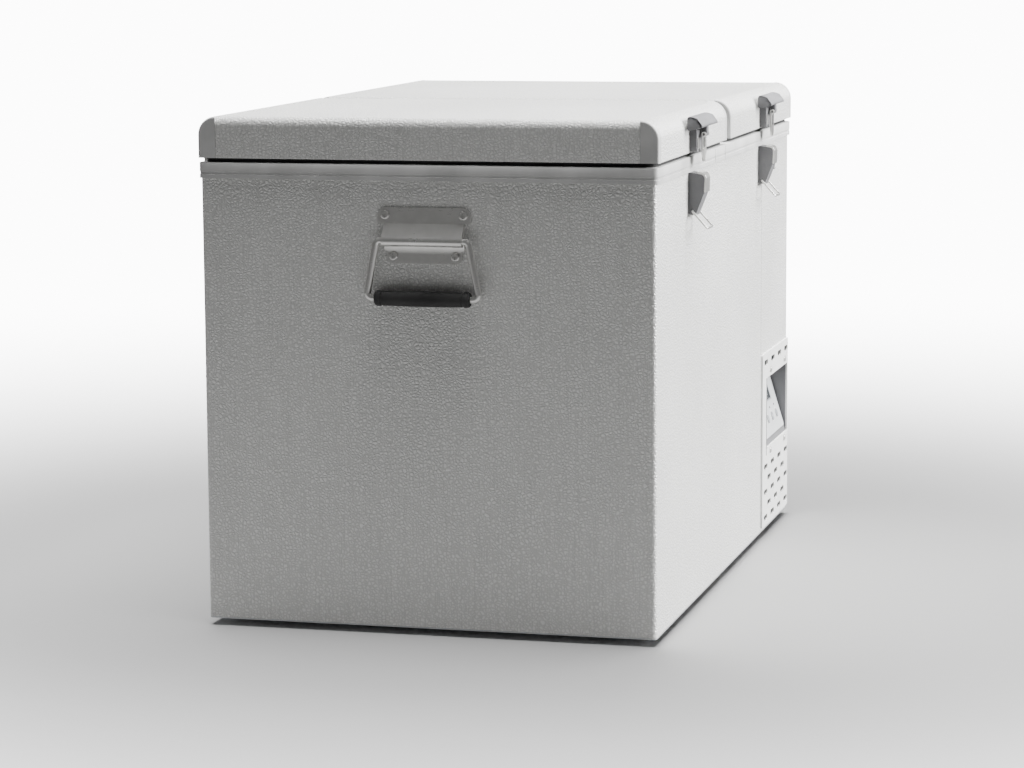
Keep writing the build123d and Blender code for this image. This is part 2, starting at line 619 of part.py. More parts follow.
def build_lid(name, x0, x1, tub):
    """One lid: skin, corner blocks, foam, pan with its plug, and gasket."""
    skin = lid_solid(x0, x1, 0.0) - lid_solid(x0, x1, SHEET)
    spots, blocks = corner_blocks(x0, x1)
    for spot in spots:
        skin = skin - spot
    save(f"lid_skin_{name}", group(skin.solids()))
    save(f"lid_corners_{name}", group(blocks))

    core = lid_solid(x0, x1, SHEET) & block(x0, x1, -300, 300, LID_BOTTOM + LID_WALL, LID_TOP)
    for spot in spots:
        core = core - spot
    save(f"lid_foam_{name}", core)

    inset = SHEET
    pan = block(x0 + inset, x1 - inset, LID_FRONT + inset, RIM_BACK - inset,
                LID_BOTTOM, LID_BOTTOM + LID_WALL)
    for spot in spots:
        pan = pan - spot
    tray = box_outline(tub[0] + LID_PLUG_GAP, tub[1] - LID_PLUG_GAP,
                       -TUB_Y + LID_PLUG_GAP, TUB_Y - LID_PLUG_GAP,
                       {i: 14.0 for i in range(4)})
    pan = pan + along_z(tray, LID_BOTTOM - LID_PLUG_DROP, LID_BOTTOM)
    save(f"lid_pan_{name}", pan)

    out = GASKET_IN
    width = GASKET_W
    ring = box_outline(x0 + out, x1 - out, LID_FRONT + out, RIM_BACK - out, {i: 6.0 for i in range(4)})
    hole = box_outline(x0 + out + width, x1 - out - width, LID_FRONT + out + width,
                       RIM_BACK - out - width, {i: 4.0 for i in range(4)})
    gasket = along_z(ring, RIM_TOP + 0.2, LID_BOTTOM) - along_z(hole, RIM_TOP, LID_BOTTOM + 1)
    save(f"lid_gasket_{name}", gasket)


# ---- hinges ----
def hinge_spots(lid):
    """Where a lid's two hinges stand."""
    middle = (lid[0] + lid[1]) / 2
    return (middle - HINGE_OFFSET, middle + HINGE_OFFSET)


def build_hinges():
    """Two three-knuckle hinges for each lid, with their pins and screws."""
    leaves = []
    pins = []
    plate = box_outline(HALF_W, HALF_W + LEAF_T, 450, 490)
    arm = outline([(HALF_W, 478), (HALF_W + 3, 478), (HINGE_Y + 4.5, 503), (HINGE_Y - 2, HINGE_Z + 4),
                   (HALF_W + 4, 495), (HALF_W, 487)])
    inner = KNUCKLE_HALF + KNUCKLE_GAP
    for lid in (LID_LEFT, LID_RIGHT):
        for x in hinge_spots(lid):
            leaf = along_x(plate, x - LEAF_HALF, x + LEAF_HALF)
            for a, b in ((x - LEAF_HALF, x - inner), (x + inner, x + LEAF_HALF)):
                leaf = leaf + along_x(arm, a, b) + rod_x(a, b, HINGE_Y, HINGE_Z, HINGE_R)
            leaf = leaf - rod_x(x - 40, x + 40, HINGE_Y, HINGE_Z, PIN_R)
            leaves.append(leaf)
            pins.append(rod_x(x - LEAF_HALF, x + LEAF_HALF, HINGE_Y, HINGE_Z, PIN_R))
            for dx in (-HINGE_SCREW_DX, HINGE_SCREW_DX):
                screw = pan_screw(4.0, 2.2, 2.0, LEAF_T)
                spot = Pos(x + dx, HALF_W + LEAF_T, CABINET_SCREW_Z) * Rot(-90, 0, 0)
                cabinet_screws.append(spot * screw)
    leaves = [cut_screw_holes(leaf) for leaf in leaves]
    save("hinge_leaves_cabinet", group(leaves))
    save("hinge_pins", group(pins))

    for name, lid in (("left", LID_LEFT), ("right", LID_RIGHT)):
        lid_leaves = []
        lid_screws = []
        web = outline([(RIM_BACK, 514), (HINGE_Y - 3, HINGE_Z - 5.2), (HINGE_Y + 4.5, HINGE_Z + 4),
                       (RIM_BACK + 3, 530), (RIM_BACK, 530)])
        flat = box_outline(RIM_BACK, RIM_BACK + LEAF_T, 514, 535)
        for x in hinge_spots(lid):
            leaf = along_x(flat, x - LEAF_HALF, x + LEAF_HALF)
            leaf = leaf + along_x(web, x - KNUCKLE_HALF, x + KNUCKLE_HALF)
            leaf = leaf + rod_x(x - KNUCKLE_HALF, x + KNUCKLE_HALF, HINGE_Y, HINGE_Z, HINGE_R)
            leaf = leaf - rod_x(x - 40, x + 40, HINGE_Y, HINGE_Z, PIN_R + FIT)
            for dx in (-HINGE_SCREW_DX, HINGE_SCREW_DX):
                spot = Pos(x + dx, RIM_BACK + LEAF_T, LID_SCREW_Z) * Rot(-90, 0, 0)
                lid_screws.append(spot * pan_screw(3.6, 2.0, 2.0, LEAF_T))
                leaf = leaf - rod_y(RIM_BACK, RIM_BACK + LEAF_T, x + dx, LID_SCREW_Z, 2.0)
            lid_leaves.append(leaf)
        save(f"hinge_leaves_lid_{name}", group(lid_leaves))
        lid_fasteners[name].extend(lid_screws)


def cut_screw_holes(leaf):
    """Drill a cabinet leaf for its two screws."""
    middle = leaf.center().X
    for dx in (-HINGE_SCREW_DX, HINGE_SCREW_DX):
        leaf = leaf - rod_y(HALF_W, HALF_W + LEAF_T, middle + dx, CABINET_SCREW_Z, 2.0)
    return leaf


# ---- end handles ----
def handle_parts():
    """The parts of the handle on the -X end."""
    def at(p):
        """x of a point that stands p out from the end face."""
        return -HALF_L - p

    plate_t = HANDLE_PLATE_T
    backing = along_x(box_outline(-51.5, 51.5, 445, 462, {2: 9.0, 3: 9.0, 0: 2.0, 1: 2.0}),
                      at(plate_t), at(0))
    backing = backing + along_x(box_outline(-44, 44, 415, 447), at(plate_t), at(0))
    backing = backing + along_x(box_outline(-41.5, 41.5, 402.5, 419, {0: 7.0, 1: 7.0}),
                                at(plate_t), at(0))
    half = BARREL_HALF
    ramp = outline([(at(1.9), 445), (at(HANDLE_P + 3.5), HANDLE_Z + 4.9), (at(HANDLE_P), HANDLE_Z),
                    (at(4), HANDLE_Z - 4), (at(1.9), HANDLE_Z - 9)])
    barrel = rod_y(-half, half, at(HANDLE_P), HANDLE_Z, BARREL_R)
    plate = backing + along_y(ramp, -half, half) + barrel
    for s in (-1, 1):
        a, b = sorted((s * 22.0, s * (half + 1)))
        plate = plate - rod_y(a, b, at(HANDLE_P), HANDLE_Z, BAIL_R + FIT)
    screws = []
    for y, z in HANDLE_SCREWS:
        plate = plate - rod_x(at(plate_t), at(0), y, z, 2.2)
        screw = pan_screw(4.75, 2.4, 2.2, plate_t)
        screws.append(Pos(at(plate_t), y, z) * Rot(0, -90, 0) * screw)

    x = at(HANDLE_P)
    low = HANDLE_Z - BAIL_DROP
    path = FilletPolyline((x, 23.0, HANDLE_Z), (x, BAIL_TOP_Y, HANDLE_Z), (x, BAIL_LOW_Y, low),
                          (x, -BAIL_LOW_Y, low), (x, -BAIL_TOP_Y, HANDLE_Z), (x, -23.0, HANDLE_Z),
                          radius=5.5)
    section = Plane(origin=path @ 0, z_dir=path % 0) * Circle(BAIL_R)
    bail = sweep(section, path=path)
    grip = rod_y(-GRIP_HALF, GRIP_HALF, x, low, GRIP_R)
    grip = fillet(grip.edges(), 3.0)
    grip = grip - rod_y(-GRIP_HALF - 1, GRIP_HALF + 1, x, low, BAIL_R)
    return plate, screws, bail, grip


def build_handles():
    """A drop handle on each end."""
    plate, screws, bail, grip = handle_parts()
    save("handle_plates", group([plate, mirror(plate, about=Plane.YZ)]))
    for screw in screws:
        cabinet_screws.extend([screw, mirror(screw, about=Plane.YZ)])
    for name, shape in (("handle_bail", bail), ("handle_grip", grip)):
        save(f"{name}_left", shape)
        save(f"{name}_right", mirror(shape, about=Plane.YZ))


# ---- latches ----
def front(p):
    """y of a point that stands p in front of the lid."""
    return LID_FRONT - p


def wall(p):
    """y of a point that stands p in front of the cabinet."""
    return -HALF_W - p


catch_bodies = []
catch_plates = []


def build_latch(name, cx):
    """One latch: base, hood and tongue on the lid, catch and loop below."""
    # base on the lid: block, two ears and the pin they carry
    side = LATCH_BASE_HALF
    base_face = box_outline(cx - side, cx + side, 512.5, 536, {0: 7.0, 1: 7.0})
    base = along_y(base_face, front(LATCH_BASE_P), front(0))
    ear = outline([(front(1.5), 534), (front(3), 540), (front(HOOD_P - 2.4), HOOD_Z),
                   (front(HOOD_P + 2.4), HOOD_Z), (front(7.5), 537), (front(LATCH_BASE_P), 534)])
    ears = ((cx - side, cx - side + 3), (cx + side - 3, cx + side))
    for a, b in ears:
        base = base + along_x(ear, a, b) + rod_x(a, b, front(HOOD_P), HOOD_Z, EAR_R)
    base = base - rod_x(cx - 30, cx + 30, front(HOOD_P), HOOD_Z, HOOD_PIN_R)
    save(f"latch_base_{name}", base)
    pin_half = HOOD_HALF - 0.5
    pin = rod_x(cx - pin_half, cx + pin_half, front(HOOD_P), HOOD_Z, HOOD_PIN_R)
    lid_fasteners[name].append(pin)
    for s in (-1, 1):
        spot = Pos(cx + s * 17.0, front(LATCH_BASE_P), 522) * Rot(90, 0, 0)
        stud = box_outline(-1.8, 1.8, -6, 6, {i: 1.7 for i in range(4)})
        lid_fasteners[name].append(spot * extrude(stud, amount=1.4))

    # hood: curved top sheet, end cheeks and the lug for the tongue
    lip_p = HOOD_LIP_P
    py, pz = front(HOOD_P), HOOD_Z
    top = [(front(HOOD_P), HOOD_Z + 6), (front(12), HOOD_Z + 4.6), (front(17), HOOD_Z + 1.4),
           (front(lip_p), HOOD_Z - 3.0), (front(lip_p - 0.4), HOOD_Z - 5.2),
           (front(lip_p - 2), HOOD_Z - 4.6), (front(15.8), HOOD_Z - 0.8), (front(11.4), HOOD_Z + 2.6),
           (front(HOOD_P), HOOD_Z + 4)]
    sheet = along_x(outline(top), cx - HOOD_HALF, cx + HOOD_HALF)
    back_ring = rod_x(cx - HOOD_HALF, cx + HOOD_HALF, py, pz, 6.0)
    back_ring = back_ring - rod_x(cx - 50, cx + 50, py, pz, 4.0)
    wedge = outline([(py, pz), (py, pz + 8), (py + 8, pz + 8), (py + 8, pz + 1.5)])
    back_ring = back_ring & along_x(wedge, cx - HOOD_HALF, cx + HOOD_HALF)
    hood = sheet + back_ring
    cheek_face = outline([(front(HOOD_P), HOOD_Z + 5.9), (front(12), HOOD_Z + 4.6),
                          (front(17), HOOD_Z + 1.4), (front(lip_p), HOOD_Z - 3.0),
                          (front(lip_p - 0.6), HOOD_Z - 5.2), (front(3), HOOD_Z - 9.5),
                          (front(0.6), HOOD_Z - 7.5), (front(1.2), HOOD_Z + 1.5)])
    for a, b in ((cx - HOOD_HALF, cx - HOOD_HALF + 3), (cx + HOOD_HALF - 3, cx + HOOD_HALF)):
        hood = hood + along_x(cheek_face, a, b)
    lug_face = outline([(front(15.5), HOOD_Z), (front(9.8), HOOD_Z + 3.6), (front(9.8), TONGUE_Z),
                        (front(TONGUE_P + 2.8), TONGUE_Z)])
    lug_half = 5.3
    lug = along_x(lug_face, cx - lug_half, cx + lug_half)
    lug = lug + rod_x(cx - lug_half, cx + lug_half, front(TONGUE_P), TONGUE_Z, 2.8)
    hood = hood + lug
    plan = outline([(cx - HOOD_HALF, front(-10)), (cx - HOOD_HALF, front(18.5)),
                    (cx - 26, front(20.0)), (cx, front(lip_p)), (cx + 26, front(20.0)),
                    (cx + HOOD_HALF, front(18.5)), (cx + HOOD_HALF, front(-10))],
                   {1: 3.0, 5: 3.0, 2: 40.0, 4: 40.0})
    hood = hood & along_z(plan, 500, 570)
    hood = hood - rod_x(cx - pin_half, cx + pin_half, py, pz, HOOD_PIN_R + FIT)
    hood = hood + rod_x(cx - 9.5, cx + 9.5, front(TONGUE_P), TONGUE_Z, TONGUE_PIN_R)
    save(f"latch_hood_{name}", hood)

    # steel tongue: two knuckles on the pin and a slotted plate with a round end
    t0, t1 = TONGUE_P_RANGE
    wide, slot = TONGUE_HALF, TONGUE_SLOT_HALF
    face = box_outline(cx - wide, cx + wide, TONGUE_END_Z, TONGUE_Z, {0: 9.5, 1: 9.5})
    hole = box_outline(cx - slot, cx + slot, 514, TONGUE_Z + 4, {0: 4.0, 1: 4.0})
    blade = along_y(face, front(t1), front(t0)) - along_y(hole, front(t1 + 1), front(t0 - 1))
    for a, b in ((cx - wide, cx - slot), (cx + slot, cx + wide)):
        blade = blade + rod_x(a, b, front(TONGUE_P), TONGUE_Z, 2.6)
    blade = blade - rod_x(cx - 12, cx + 12, front(TONGUE_P), TONGUE_Z, TONGUE_PIN_R + FIT)
    save(f"latch_tongue_{name}", blade)

    # catch on the cabinet: body, hook plate over its head, wire loop at its foot
    body = along_x(outline([(wall(0), 445), (wall(8), 443), (wall(17), 466), (wall(18), 487),
                            (wall(0), 490)], {3: 6.0}), cx - CATCH_HALF, cx + CATCH_HALF)
    for a, b in ((cx - 14, cx - 6), (cx + 6, cx + 14)):
        body = body - rod_x(a, b, wall(CATCH_P), CATCH_Z, LOOP_R + FIT)
    catch_bodies.append(body)
    hook = along_x(outline([(wall(10), 488.3), (wall(18), 487), (wall(17.1), 468), (wall(19.2), 468),
                            (wall(20), 489), (wall(10), 490.6)], {4: 7.0, 1: 5.0}),
                   cx - HOOK_HALF, cx + HOOK_HALF)
    catch_plates.append(hook - body)

    tilt = radians(LOOP_TILT)
    arm_x = LOOP_ARM_X

    def on_arm(distance):
        """(y, z) of a point on the loop's arm."""
        return (wall(CATCH_P + distance * sin(tilt)), CATCH_Z - distance * cos(tilt))

    y1, z1 = on_arm(LOOP_REACH)
    y0, z0 = on_arm(0.0)
    path = FilletPolyline((cx - 7, y0, z0), (cx - arm_x, y0, z0), (cx - arm_x, y1, z1),
                          (cx + arm_x, y1, z1), (cx + arm_x, y0, z0), (cx + 7, y0, z0), radius=2.6)
    loop = sweep(Plane(origin=path @ 0, z_dir=path % 0) * Circle(LOOP_R), path=path)
    save(f"catch_loop_{name}", loop)


build_base()
build_skins()
build_insulation()
build_rim()
build_controls()
build_badge()
build_cooling()
build_inlets()
build_lid("left", *LID_LEFT, TUB_LEFT)
build_lid("right", *LID_RIGHT, TUB_RIGHT)
build_hinges()
build_handles()
for latch_name, latch_x in zip(("left", "right"), LATCH_X):
    build_latch(latch_name, latch_x)
save("catch_bodies", group(catch_bodies))
save("catch_plates", group(catch_plates))
save("cabinet_screws", group(cabinet_screws))
for lid_name, fasteners in lid_fasteners.items():
    save(f"lid_fasteners_{lid_name}", group(fasteners))
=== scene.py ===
"""Looks of a twin-lid portable compressor fridge, built round its CAD frame.

The steel skins, vents, plates, hinges and cooling unit keep their CAD shapes and get finishes and
soft edges. The rim band, liners, lid pans, gaskets, latches, handles and fan are modelled here.
"""
import json
import logging
import math
from dataclasses import dataclass
from enum import Enum
from typing import Sequence

import bmesh
import bpy
from mathutils import Matrix, Vector


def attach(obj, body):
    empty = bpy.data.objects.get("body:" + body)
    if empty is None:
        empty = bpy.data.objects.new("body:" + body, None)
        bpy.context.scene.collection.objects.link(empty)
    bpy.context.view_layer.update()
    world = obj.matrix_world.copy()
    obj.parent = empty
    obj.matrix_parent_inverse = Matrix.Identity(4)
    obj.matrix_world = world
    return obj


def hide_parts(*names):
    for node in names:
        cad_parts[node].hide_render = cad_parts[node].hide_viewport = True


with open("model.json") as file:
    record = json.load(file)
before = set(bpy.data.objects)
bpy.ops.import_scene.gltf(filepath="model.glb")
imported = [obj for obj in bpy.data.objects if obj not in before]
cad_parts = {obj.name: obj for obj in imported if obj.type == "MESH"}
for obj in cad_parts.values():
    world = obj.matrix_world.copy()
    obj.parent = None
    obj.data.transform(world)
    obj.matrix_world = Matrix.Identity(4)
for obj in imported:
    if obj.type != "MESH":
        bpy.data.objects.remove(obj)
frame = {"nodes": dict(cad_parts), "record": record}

LOG = logging.getLogger("fridge")
MM = 0.001
SHEET = 1.2            # wall of the steel skins and the liners, mm
LID_FRONT = -253.5     # front and back of the lids, mm
LID_BACK = 251.5
LID_LOW = 511.5        # underside of the lids, mm

Spot = tuple[float, float]
Point = tuple[float, float, float]
Colour = tuple[float, float, float]
Ring = list[bmesh.types.BMEdge]


# --------------------------------------------------------------------------- shader maths
class Val:
    """A shader socket that takes part in Python arithmetic."""

    def __init__(self, graph: "Graph", socket: bpy.types.NodeSocket) -> None:
        """Keep the graph that new maths nodes are added to, and the socket."""
        self.graph = graph
        self.socket = socket

    def _math(self, operation: str, *others: "Val | float", clamp: bool = False) -> "Val":
        """Add one Math node that combines this socket with the others."""
        return self.graph.math(operation, self, *others, clamp=clamp)

    def __add__(self, other: "Val | float") -> "Val":
        """self + other."""
        return self._math("ADD", other)

    def __radd__(self, other: float) -> "Val":
        """other + self."""
        return self._math("ADD", other)

    def __sub__(self, other: "Val | float") -> "Val":
        """self - other."""
        return self._math("SUBTRACT", other)

    def __rsub__(self, other: float) -> "Val":
        """other - self."""
        return self.graph.math("SUBTRACT", other, self)

    def __mul__(self, other: "Val | float") -> "Val":
        """self * other."""
        return self._math("MULTIPLY", other)

    def __rmul__(self, other: float) -> "Val":
        """other * self."""
        return self._math("MULTIPLY", other)

    def power(self, exponent: float) -> "Val":
        """self to a power."""
        return self._math("POWER", exponent)

    def ramp(self, low: float, high: float) -> "Val":
        """0 below low, 1 above high, smooth between.

        Args:
            low: Value that gives 0.
            high: Value that gives 1.

        Returns:
            The eased value.
        """
        return self.graph.node("ShaderNodeMapRange", {"interpolation_type": "SMOOTHSTEP"},
                               {"Value": self, "From Min": low, "From Max": high})

    def clamped(self) -> "Val":
        """The value held between 0 and 1."""
        return self._math("ADD", 0.0, clamp=True)


class Graph:
    """Builds one material's node tree."""

    def __init__(self, name: str) -> None:
        """Start an empty material with a principled shader.

        Args:
            name: Name of the new material.
        """
        self.material = bpy.data.materials.new(name)
        self.material.use_nodes = True
        self.tree = self.material.node_tree
        self.tree.nodes.clear()
        out = self.tree.nodes.new("ShaderNodeOutputMaterial")
        self.shader = self.tree.nodes.new("ShaderNodeBsdfPrincipled")
        self.tree.links.new(self.shader.outputs["BSDF"], out.inputs["Surface"])
        self._coords: Val | None = None

    def _feed(self, socket: bpy.types.NodeSocket, value: "Val | float | Sequence[float]") -> None:
        """Link or set one input socket."""
        if isinstance(value, Val):
            self.tree.links.new(value.socket, socket)
        elif isinstance(value, (tuple, list)) and socket.type == "RGBA" and len(value) == 3:
            socket.default_value = (*value, 1.0)
        else:
            socket.default_value = value

    def node(self, kind: str, settings: dict | None = None, inputs: dict | None = None,
             output: str | int = 0) -> Val:
        """Add any node.

        Args:
            kind: Node type identifier.
            settings: Properties that are set before the sockets.
            inputs: Socket name or index to a value or a link.
            output: Name or index of the socket to return.

        Returns:
            The chosen output.
        """
        made = self.tree.nodes.new(kind)
        for key, value in (settings or {}).items():
            setattr(made, key, value)
        for key, value in (inputs or {}).items():
            self._feed(made.inputs[key], value)
        return Val(self, made.outputs[output])

    def math(self, operation: str, *terms: "Val | float", clamp: bool = False) -> Val:
        """Add a Math node.

        Args:
            operation: Name of the operation.
            terms: Its one to three inputs.
            clamp: Hold the result between 0 and 1.

        Returns:
            The result.
        """
        inputs = dict(enumerate(terms))
        return self.node("ShaderNodeMath", {"operation": operation, "use_clamp": clamp}, inputs)

    def coords(self) -> Val:
        """Object coordinates, shared by the whole material."""
        if self._coords is None:
            self._coords = self.node("ShaderNodeTexCoord", output="Object")
        return self._coords

    def axis(self, letter: str) -> Val:
        """One component of the object coordinates, in metres."""
        return self.node("ShaderNodeSeparateXYZ", None, {0: self.coords()}, output=letter)

    def mapped(self, scale: Point, rotation: Point = (0.0, 0.0, 0.0)) -> Val:
        """Object coordinates stretched and turned."""
        return self.node("ShaderNodeMapping", None,
                         {"Vector": self.coords(), "Scale": scale, "Rotation": rotation})

    def noise(self, scale: float, detail: float = 2.0, vector: Val | None = None) -> Val:
        """Smooth noise from 0 to 1, with a scale in cycles per metre."""
        return self.node("ShaderNodeTexNoise", None,
                         {"Vector": vector or self.coords(), "Scale": scale, "Detail": detail})

    def cells(self, scale: float, feature: str = "F1", vector: Val | None = None) -> Val:
        """Distance field of Voronoi cells, with a scale in cells per metre."""
        return self.node("ShaderNodeTexVoronoi", {"feature": feature},
                         {"Vector": vector or self.coords(), "Scale": scale}, "Distance")

    def mix(self, factor: "Val | float", first: "Val | Colour", second: "Val | Colour") -> Val:
        """Blend two colours."""
        inputs = {0: factor, 6: first, 7: second}
        return self.node("ShaderNodeMix", {"data_type": "RGBA"}, inputs, output=2)

    def bump(self, height: Val, distance: float) -> None:
        """Feed a height to the shader's normal.

        Args:
            height: Height field, about 0 to 1.
            distance: Real height of one unit, in metres.
        """
        self.set(Normal=self.node("ShaderNodeBump", None, {"Height": height, "Distance": distance}))

    def set(self, **inputs: "Val | float | Sequence[float]") -> None:
        """Set the shader's inputs; underscores in names stand for spaces."""
        for key, value in inputs.items():
            self._feed(self.shader.inputs[key.replace("_", " ")], value)


# --------------------------------------------------------------------------- finishes
def tint(colour: Colour, gain: float, lift: float = 0.0) -> Colour:
    """A colour made darker or lighter, held below white."""
    return tuple(min(1.0, c * gain + lift) for c in colour)


@dataclass(frozen=True)
class EmbossedSteel:
    """Satin stainless sheet rolled with a fine leather grain, with painted shade in the grain's
    creases.
    """

    colour: Colour = (0.71, 0.71, 0.695)
    grain: float = 270.0
    depth: float = 0.00034
    metallic: float = 0.5

    def make(self, name: str) -> bpy.types.Material:
        """Build the material."""
        g = Graph(name)
        warp = g.noise(70.0, 2.0)
        warped = g.node("ShaderNodeVectorMath", {"operation": "MULTIPLY_ADD"},
                        {0: g.node("ShaderNodeCombineXYZ", None, {0: warp, 1: warp, 2: warp}),
                         1: (0.006, 0.006, 0.006), 2: g.coords()})
        creases = g.cells(self.grain, "DISTANCE_TO_EDGE", warped)
        pebble = creases.ramp(0.0, 0.32)
        fine = g.noise(1500.0, 2.0)
        brushed = g.noise(1.0, 3.0, g.mapped((900.0, 900.0, 14.0)))
        clouds = g.noise(5.0, 3.0)
        # The grain's creases are painted darker as painted shade, added to random cloudy tone and
        # brushed streaks.
        mottle_and_crease_shade = (clouds - 0.5) * 0.12 + (brushed - 0.5) * 0.30 + (pebble - 0.7) * 0.24
        tone = g.mix((mottle_and_crease_shade + 0.62).clamped(), tint(self.colour, 0.45), tint(self.colour, 1.25))
        g.set(Base_Color=tone, Metallic=self.metallic,
              Roughness=(0.44 + (clouds - 0.5) * 0.16 + (1.0 - pebble) * 0.14).clamped())
        g.bump(pebble + fine * 0.12 + brushed * 0.10, self.depth)
        return g.material


@dataclass(frozen=True)
class PlainSteel:
    """Smooth steel: pressed plates, wire and screws."""

    colour: Colour = (0.74, 0.735, 0.715)
    roughness: float = 0.30
    metallic: float = 0.85
    scratches: float = 0.10

    def make(self, name: str) -> bpy.types.Material:
        """Build the material."""
        g = Graph(name)
        drawn = g.noise(1.0, 4.0, g.mapped((160.0, 40.0, 2400.0), (0.3, 0.1, 0.2)))
        smudge = g.noise(55.0, 3.0)
        tone = g.mix(smudge.ramp(0.3, 0.7), self.colour, tint(self.colour, 0.90))
        g.set(Base_Color=tone, Metallic=self.metallic,
              Roughness=(self.roughness + (smudge - 0.5) * 0.12
                         + (drawn - 0.5) * self.scratches).clamped())
        g.bump(drawn, 0.000003)
        return g.material


@dataclass(frozen=True)
class Moulding:
    """Moulded plastic or rubber with a spark-eroded texture."""

    colour: Colour
    roughness: float = 0.55
    texture: float = 1100.0
    depth: float = 0.00005
    mottle: float = 0.10
    coat: float = 0.0

    def make(self, name: str) -> bpy.types.Material:
        """Build the material."""
        g = Graph(name)
        grit = g.cells(self.texture, "SMOOTH_F1")
        flow = g.noise(24.0, 3.0)
        dust = g.noise(260.0, 4.0).ramp(0.55, 0.8)
        tone = g.mix(flow.ramp(0.25, 0.75), tint(self.colour, 1.0 - self.mottle),
                     tint(self.colour, 1.0 + self.mottle, 0.012))
        g.set(Specular_IOR_Level=0.3, Coat_Weight=self.coat,
              Base_Color=g.mix(dust * 0.25, tone, tint(self.colour, 1.15, 0.02)),
              Roughness=(self.roughness + (flow - 0.5) * 0.12 + dust * 0.08).clamped())
        g.bump(grit + flow * 0.5, self.depth)
        return g.material


@dataclass(frozen=True)
class Foam:
    """Rigid foam with open cut cells."""

    colour: Colour = (0.80, 0.70, 0.42)

    def make(self, name: str) -> bpy.types.Material:
        """Build the material."""
        g = Graph(name)
        bubbles = g.cells(420.0)
        patch = g.noise(18.0, 3.0)
        tone = g.mix((bubbles + patch * 0.4).clamped(), tint(self.colour, 0.78), self.colour)
        g.set(Base_Color=tone, Roughness=0.9)
        g.bump(bubbles, 0.0006)
        return g.material


@dataclass(frozen=True)
class TintedWindow:
    """Dark display window with the faint grid of its unlit segments."""

    def make(self, name: str) -> bpy.types.Material:
        """Build the material."""
        g = Graph(name)
        lines = g.node("ShaderNodeTexWave", {"bands_direction": "X"},
                       {"Vector": g.coords(), "Scale": 120.0, "Distortion": 0.0})
        haze = g.noise(90.0, 2.0)
        g.set(Base_Color=g.mix(lines.ramp(0.4, 0.9) * 0.35, (0.018, 0.021, 0.024),
                               (0.045, 0.050, 0.052)),
              Roughness=(0.08 + haze * 0.06).clamped(), Coat_Weight=0.6)
        g.bump(haze, 0.00001)
        return g.material


@dataclass(frozen=True)
class CircuitBoard:
    """Green solder mask with copper tracks under it."""

    def make(self, name: str) -> bpy.types.Material:
        """Build the material."""
        g = Graph(name)
        tracks = g.node("ShaderNodeTexBrick", None,
                        {"Vector": g.mapped((1.0, 1.0, 1.0), (math.radians(90), 0.0, 0.0)),
                         "Scale": 90.0, "Mortar Size": 0.03})
        g.set(Base_Color=g.mix(tracks, (0.05, 0.22, 0.10), (0.02, 0.11, 0.05)), Roughness=0.35)
        g.bump(tracks, 0.00004)
        return g.material


class Finish(Enum):
    """Every finish, named by the record's material slot."""

    EMBOSSED = "embossed_steel"
    GALVANISED = "galvanised_steel"
    STAINLESS = "stainless_steel"
    GREY_PLASTIC = "grey_plastic"
    LATCH = "latch_plastic"
    RUBBER = "black_rubber"
    LIGHT_PLASTIC = "light_plastic"
    FACE_FILM = "face_film"
    DISPLAY = "display_glass"
    BUTTON = "button_rubber"
    BADGE = "white_badge"
    LINER = "liner_plastic"
    FOAM = "foam"
    ALUMINIUM = "evaporator_aluminium"
    COPPER = "copper"
    COMPRESSOR = "compressor_paint"
    BLACK_PLASTIC = "black_plastic"
    BOARD = "circuit_board"


RECIPES: dict[Finish, object] = {
    Finish.EMBOSSED: EmbossedSteel(),
    Finish.GALVANISED: PlainSteel((0.50, 0.51, 0.52), 0.42, 0.8, 0.2),
    Finish.STAINLESS: PlainSteel(),
    Finish.GREY_PLASTIC: Moulding((0.45, 0.45, 0.445), 0.5, 900.0),
    Finish.LATCH: Moulding((0.125, 0.125, 0.13), 0.45, 1000.0),
    Finish.RUBBER: Moulding((0.022, 0.022, 0.022), 0.62, 1400.0, 0.00003),
    Finish.LIGHT_PLASTIC: Moulding((0.62, 0.62, 0.61), 0.48, 1000.0, 0.00004, 0.04),
    Finish.FACE_FILM: Moulding((0.50, 0.51, 0.52), 0.35, 2000.0, 0.00001, 0.04, 0.2),
    Finish.DISPLAY: TintedWindow(),
    Finish.BUTTON: Moulding((0.22, 0.23, 0.24), 0.5, 1800.0, 0.00002),
    Finish.BADGE: Moulding((0.90, 0.90, 0.89), 0.18, 2000.0, 0.000005, 0.03, 0.6),
    Finish.LINER: Moulding((0.78, 0.79, 0.79), 0.30, 800.0, 0.00003, 0.03, 0.15),
    Finish.FOAM: Foam(),
    Finish.ALUMINIUM: PlainSteel((0.75, 0.76, 0.77), 0.36, 0.9, 0.15),
    Finish.COPPER: PlainSteel((0.72, 0.38, 0.24), 0.30, 0.95, 0.15),
    Finish.COMPRESSOR: Moulding((0.020, 0.020, 0.022), 0.30, 700.0, 0.00005, 0.05, 0.4),
    Finish.BLACK_PLASTIC: Moulding((0.030, 0.030, 0.033), 0.50, 1000.0),
    Finish.BOARD: CircuitBoard(),
}


class Finishes:
    """Makes each finish once and puts it on pieces and CAD nodes."""

    def __init__(self) -> None:
        """Start with no materials made."""
        self._made: dict[Finish, bpy.types.Material] = {}

    def get(self, finish: Finish) -> bpy.types.Material:
        """The material of a finish, made the first time it is asked for."""
        if finish not in self._made:
            self._made[finish] = RECIPES[finish].make(finish.value)
        return self._made[finish]

    def coat(self, piece: bpy.types.Object, finish: Finish) -> None:
        """Give a piece one finish all over."""
        piece.data.materials.clear()
        piece.data.materials.append(self.get(finish))


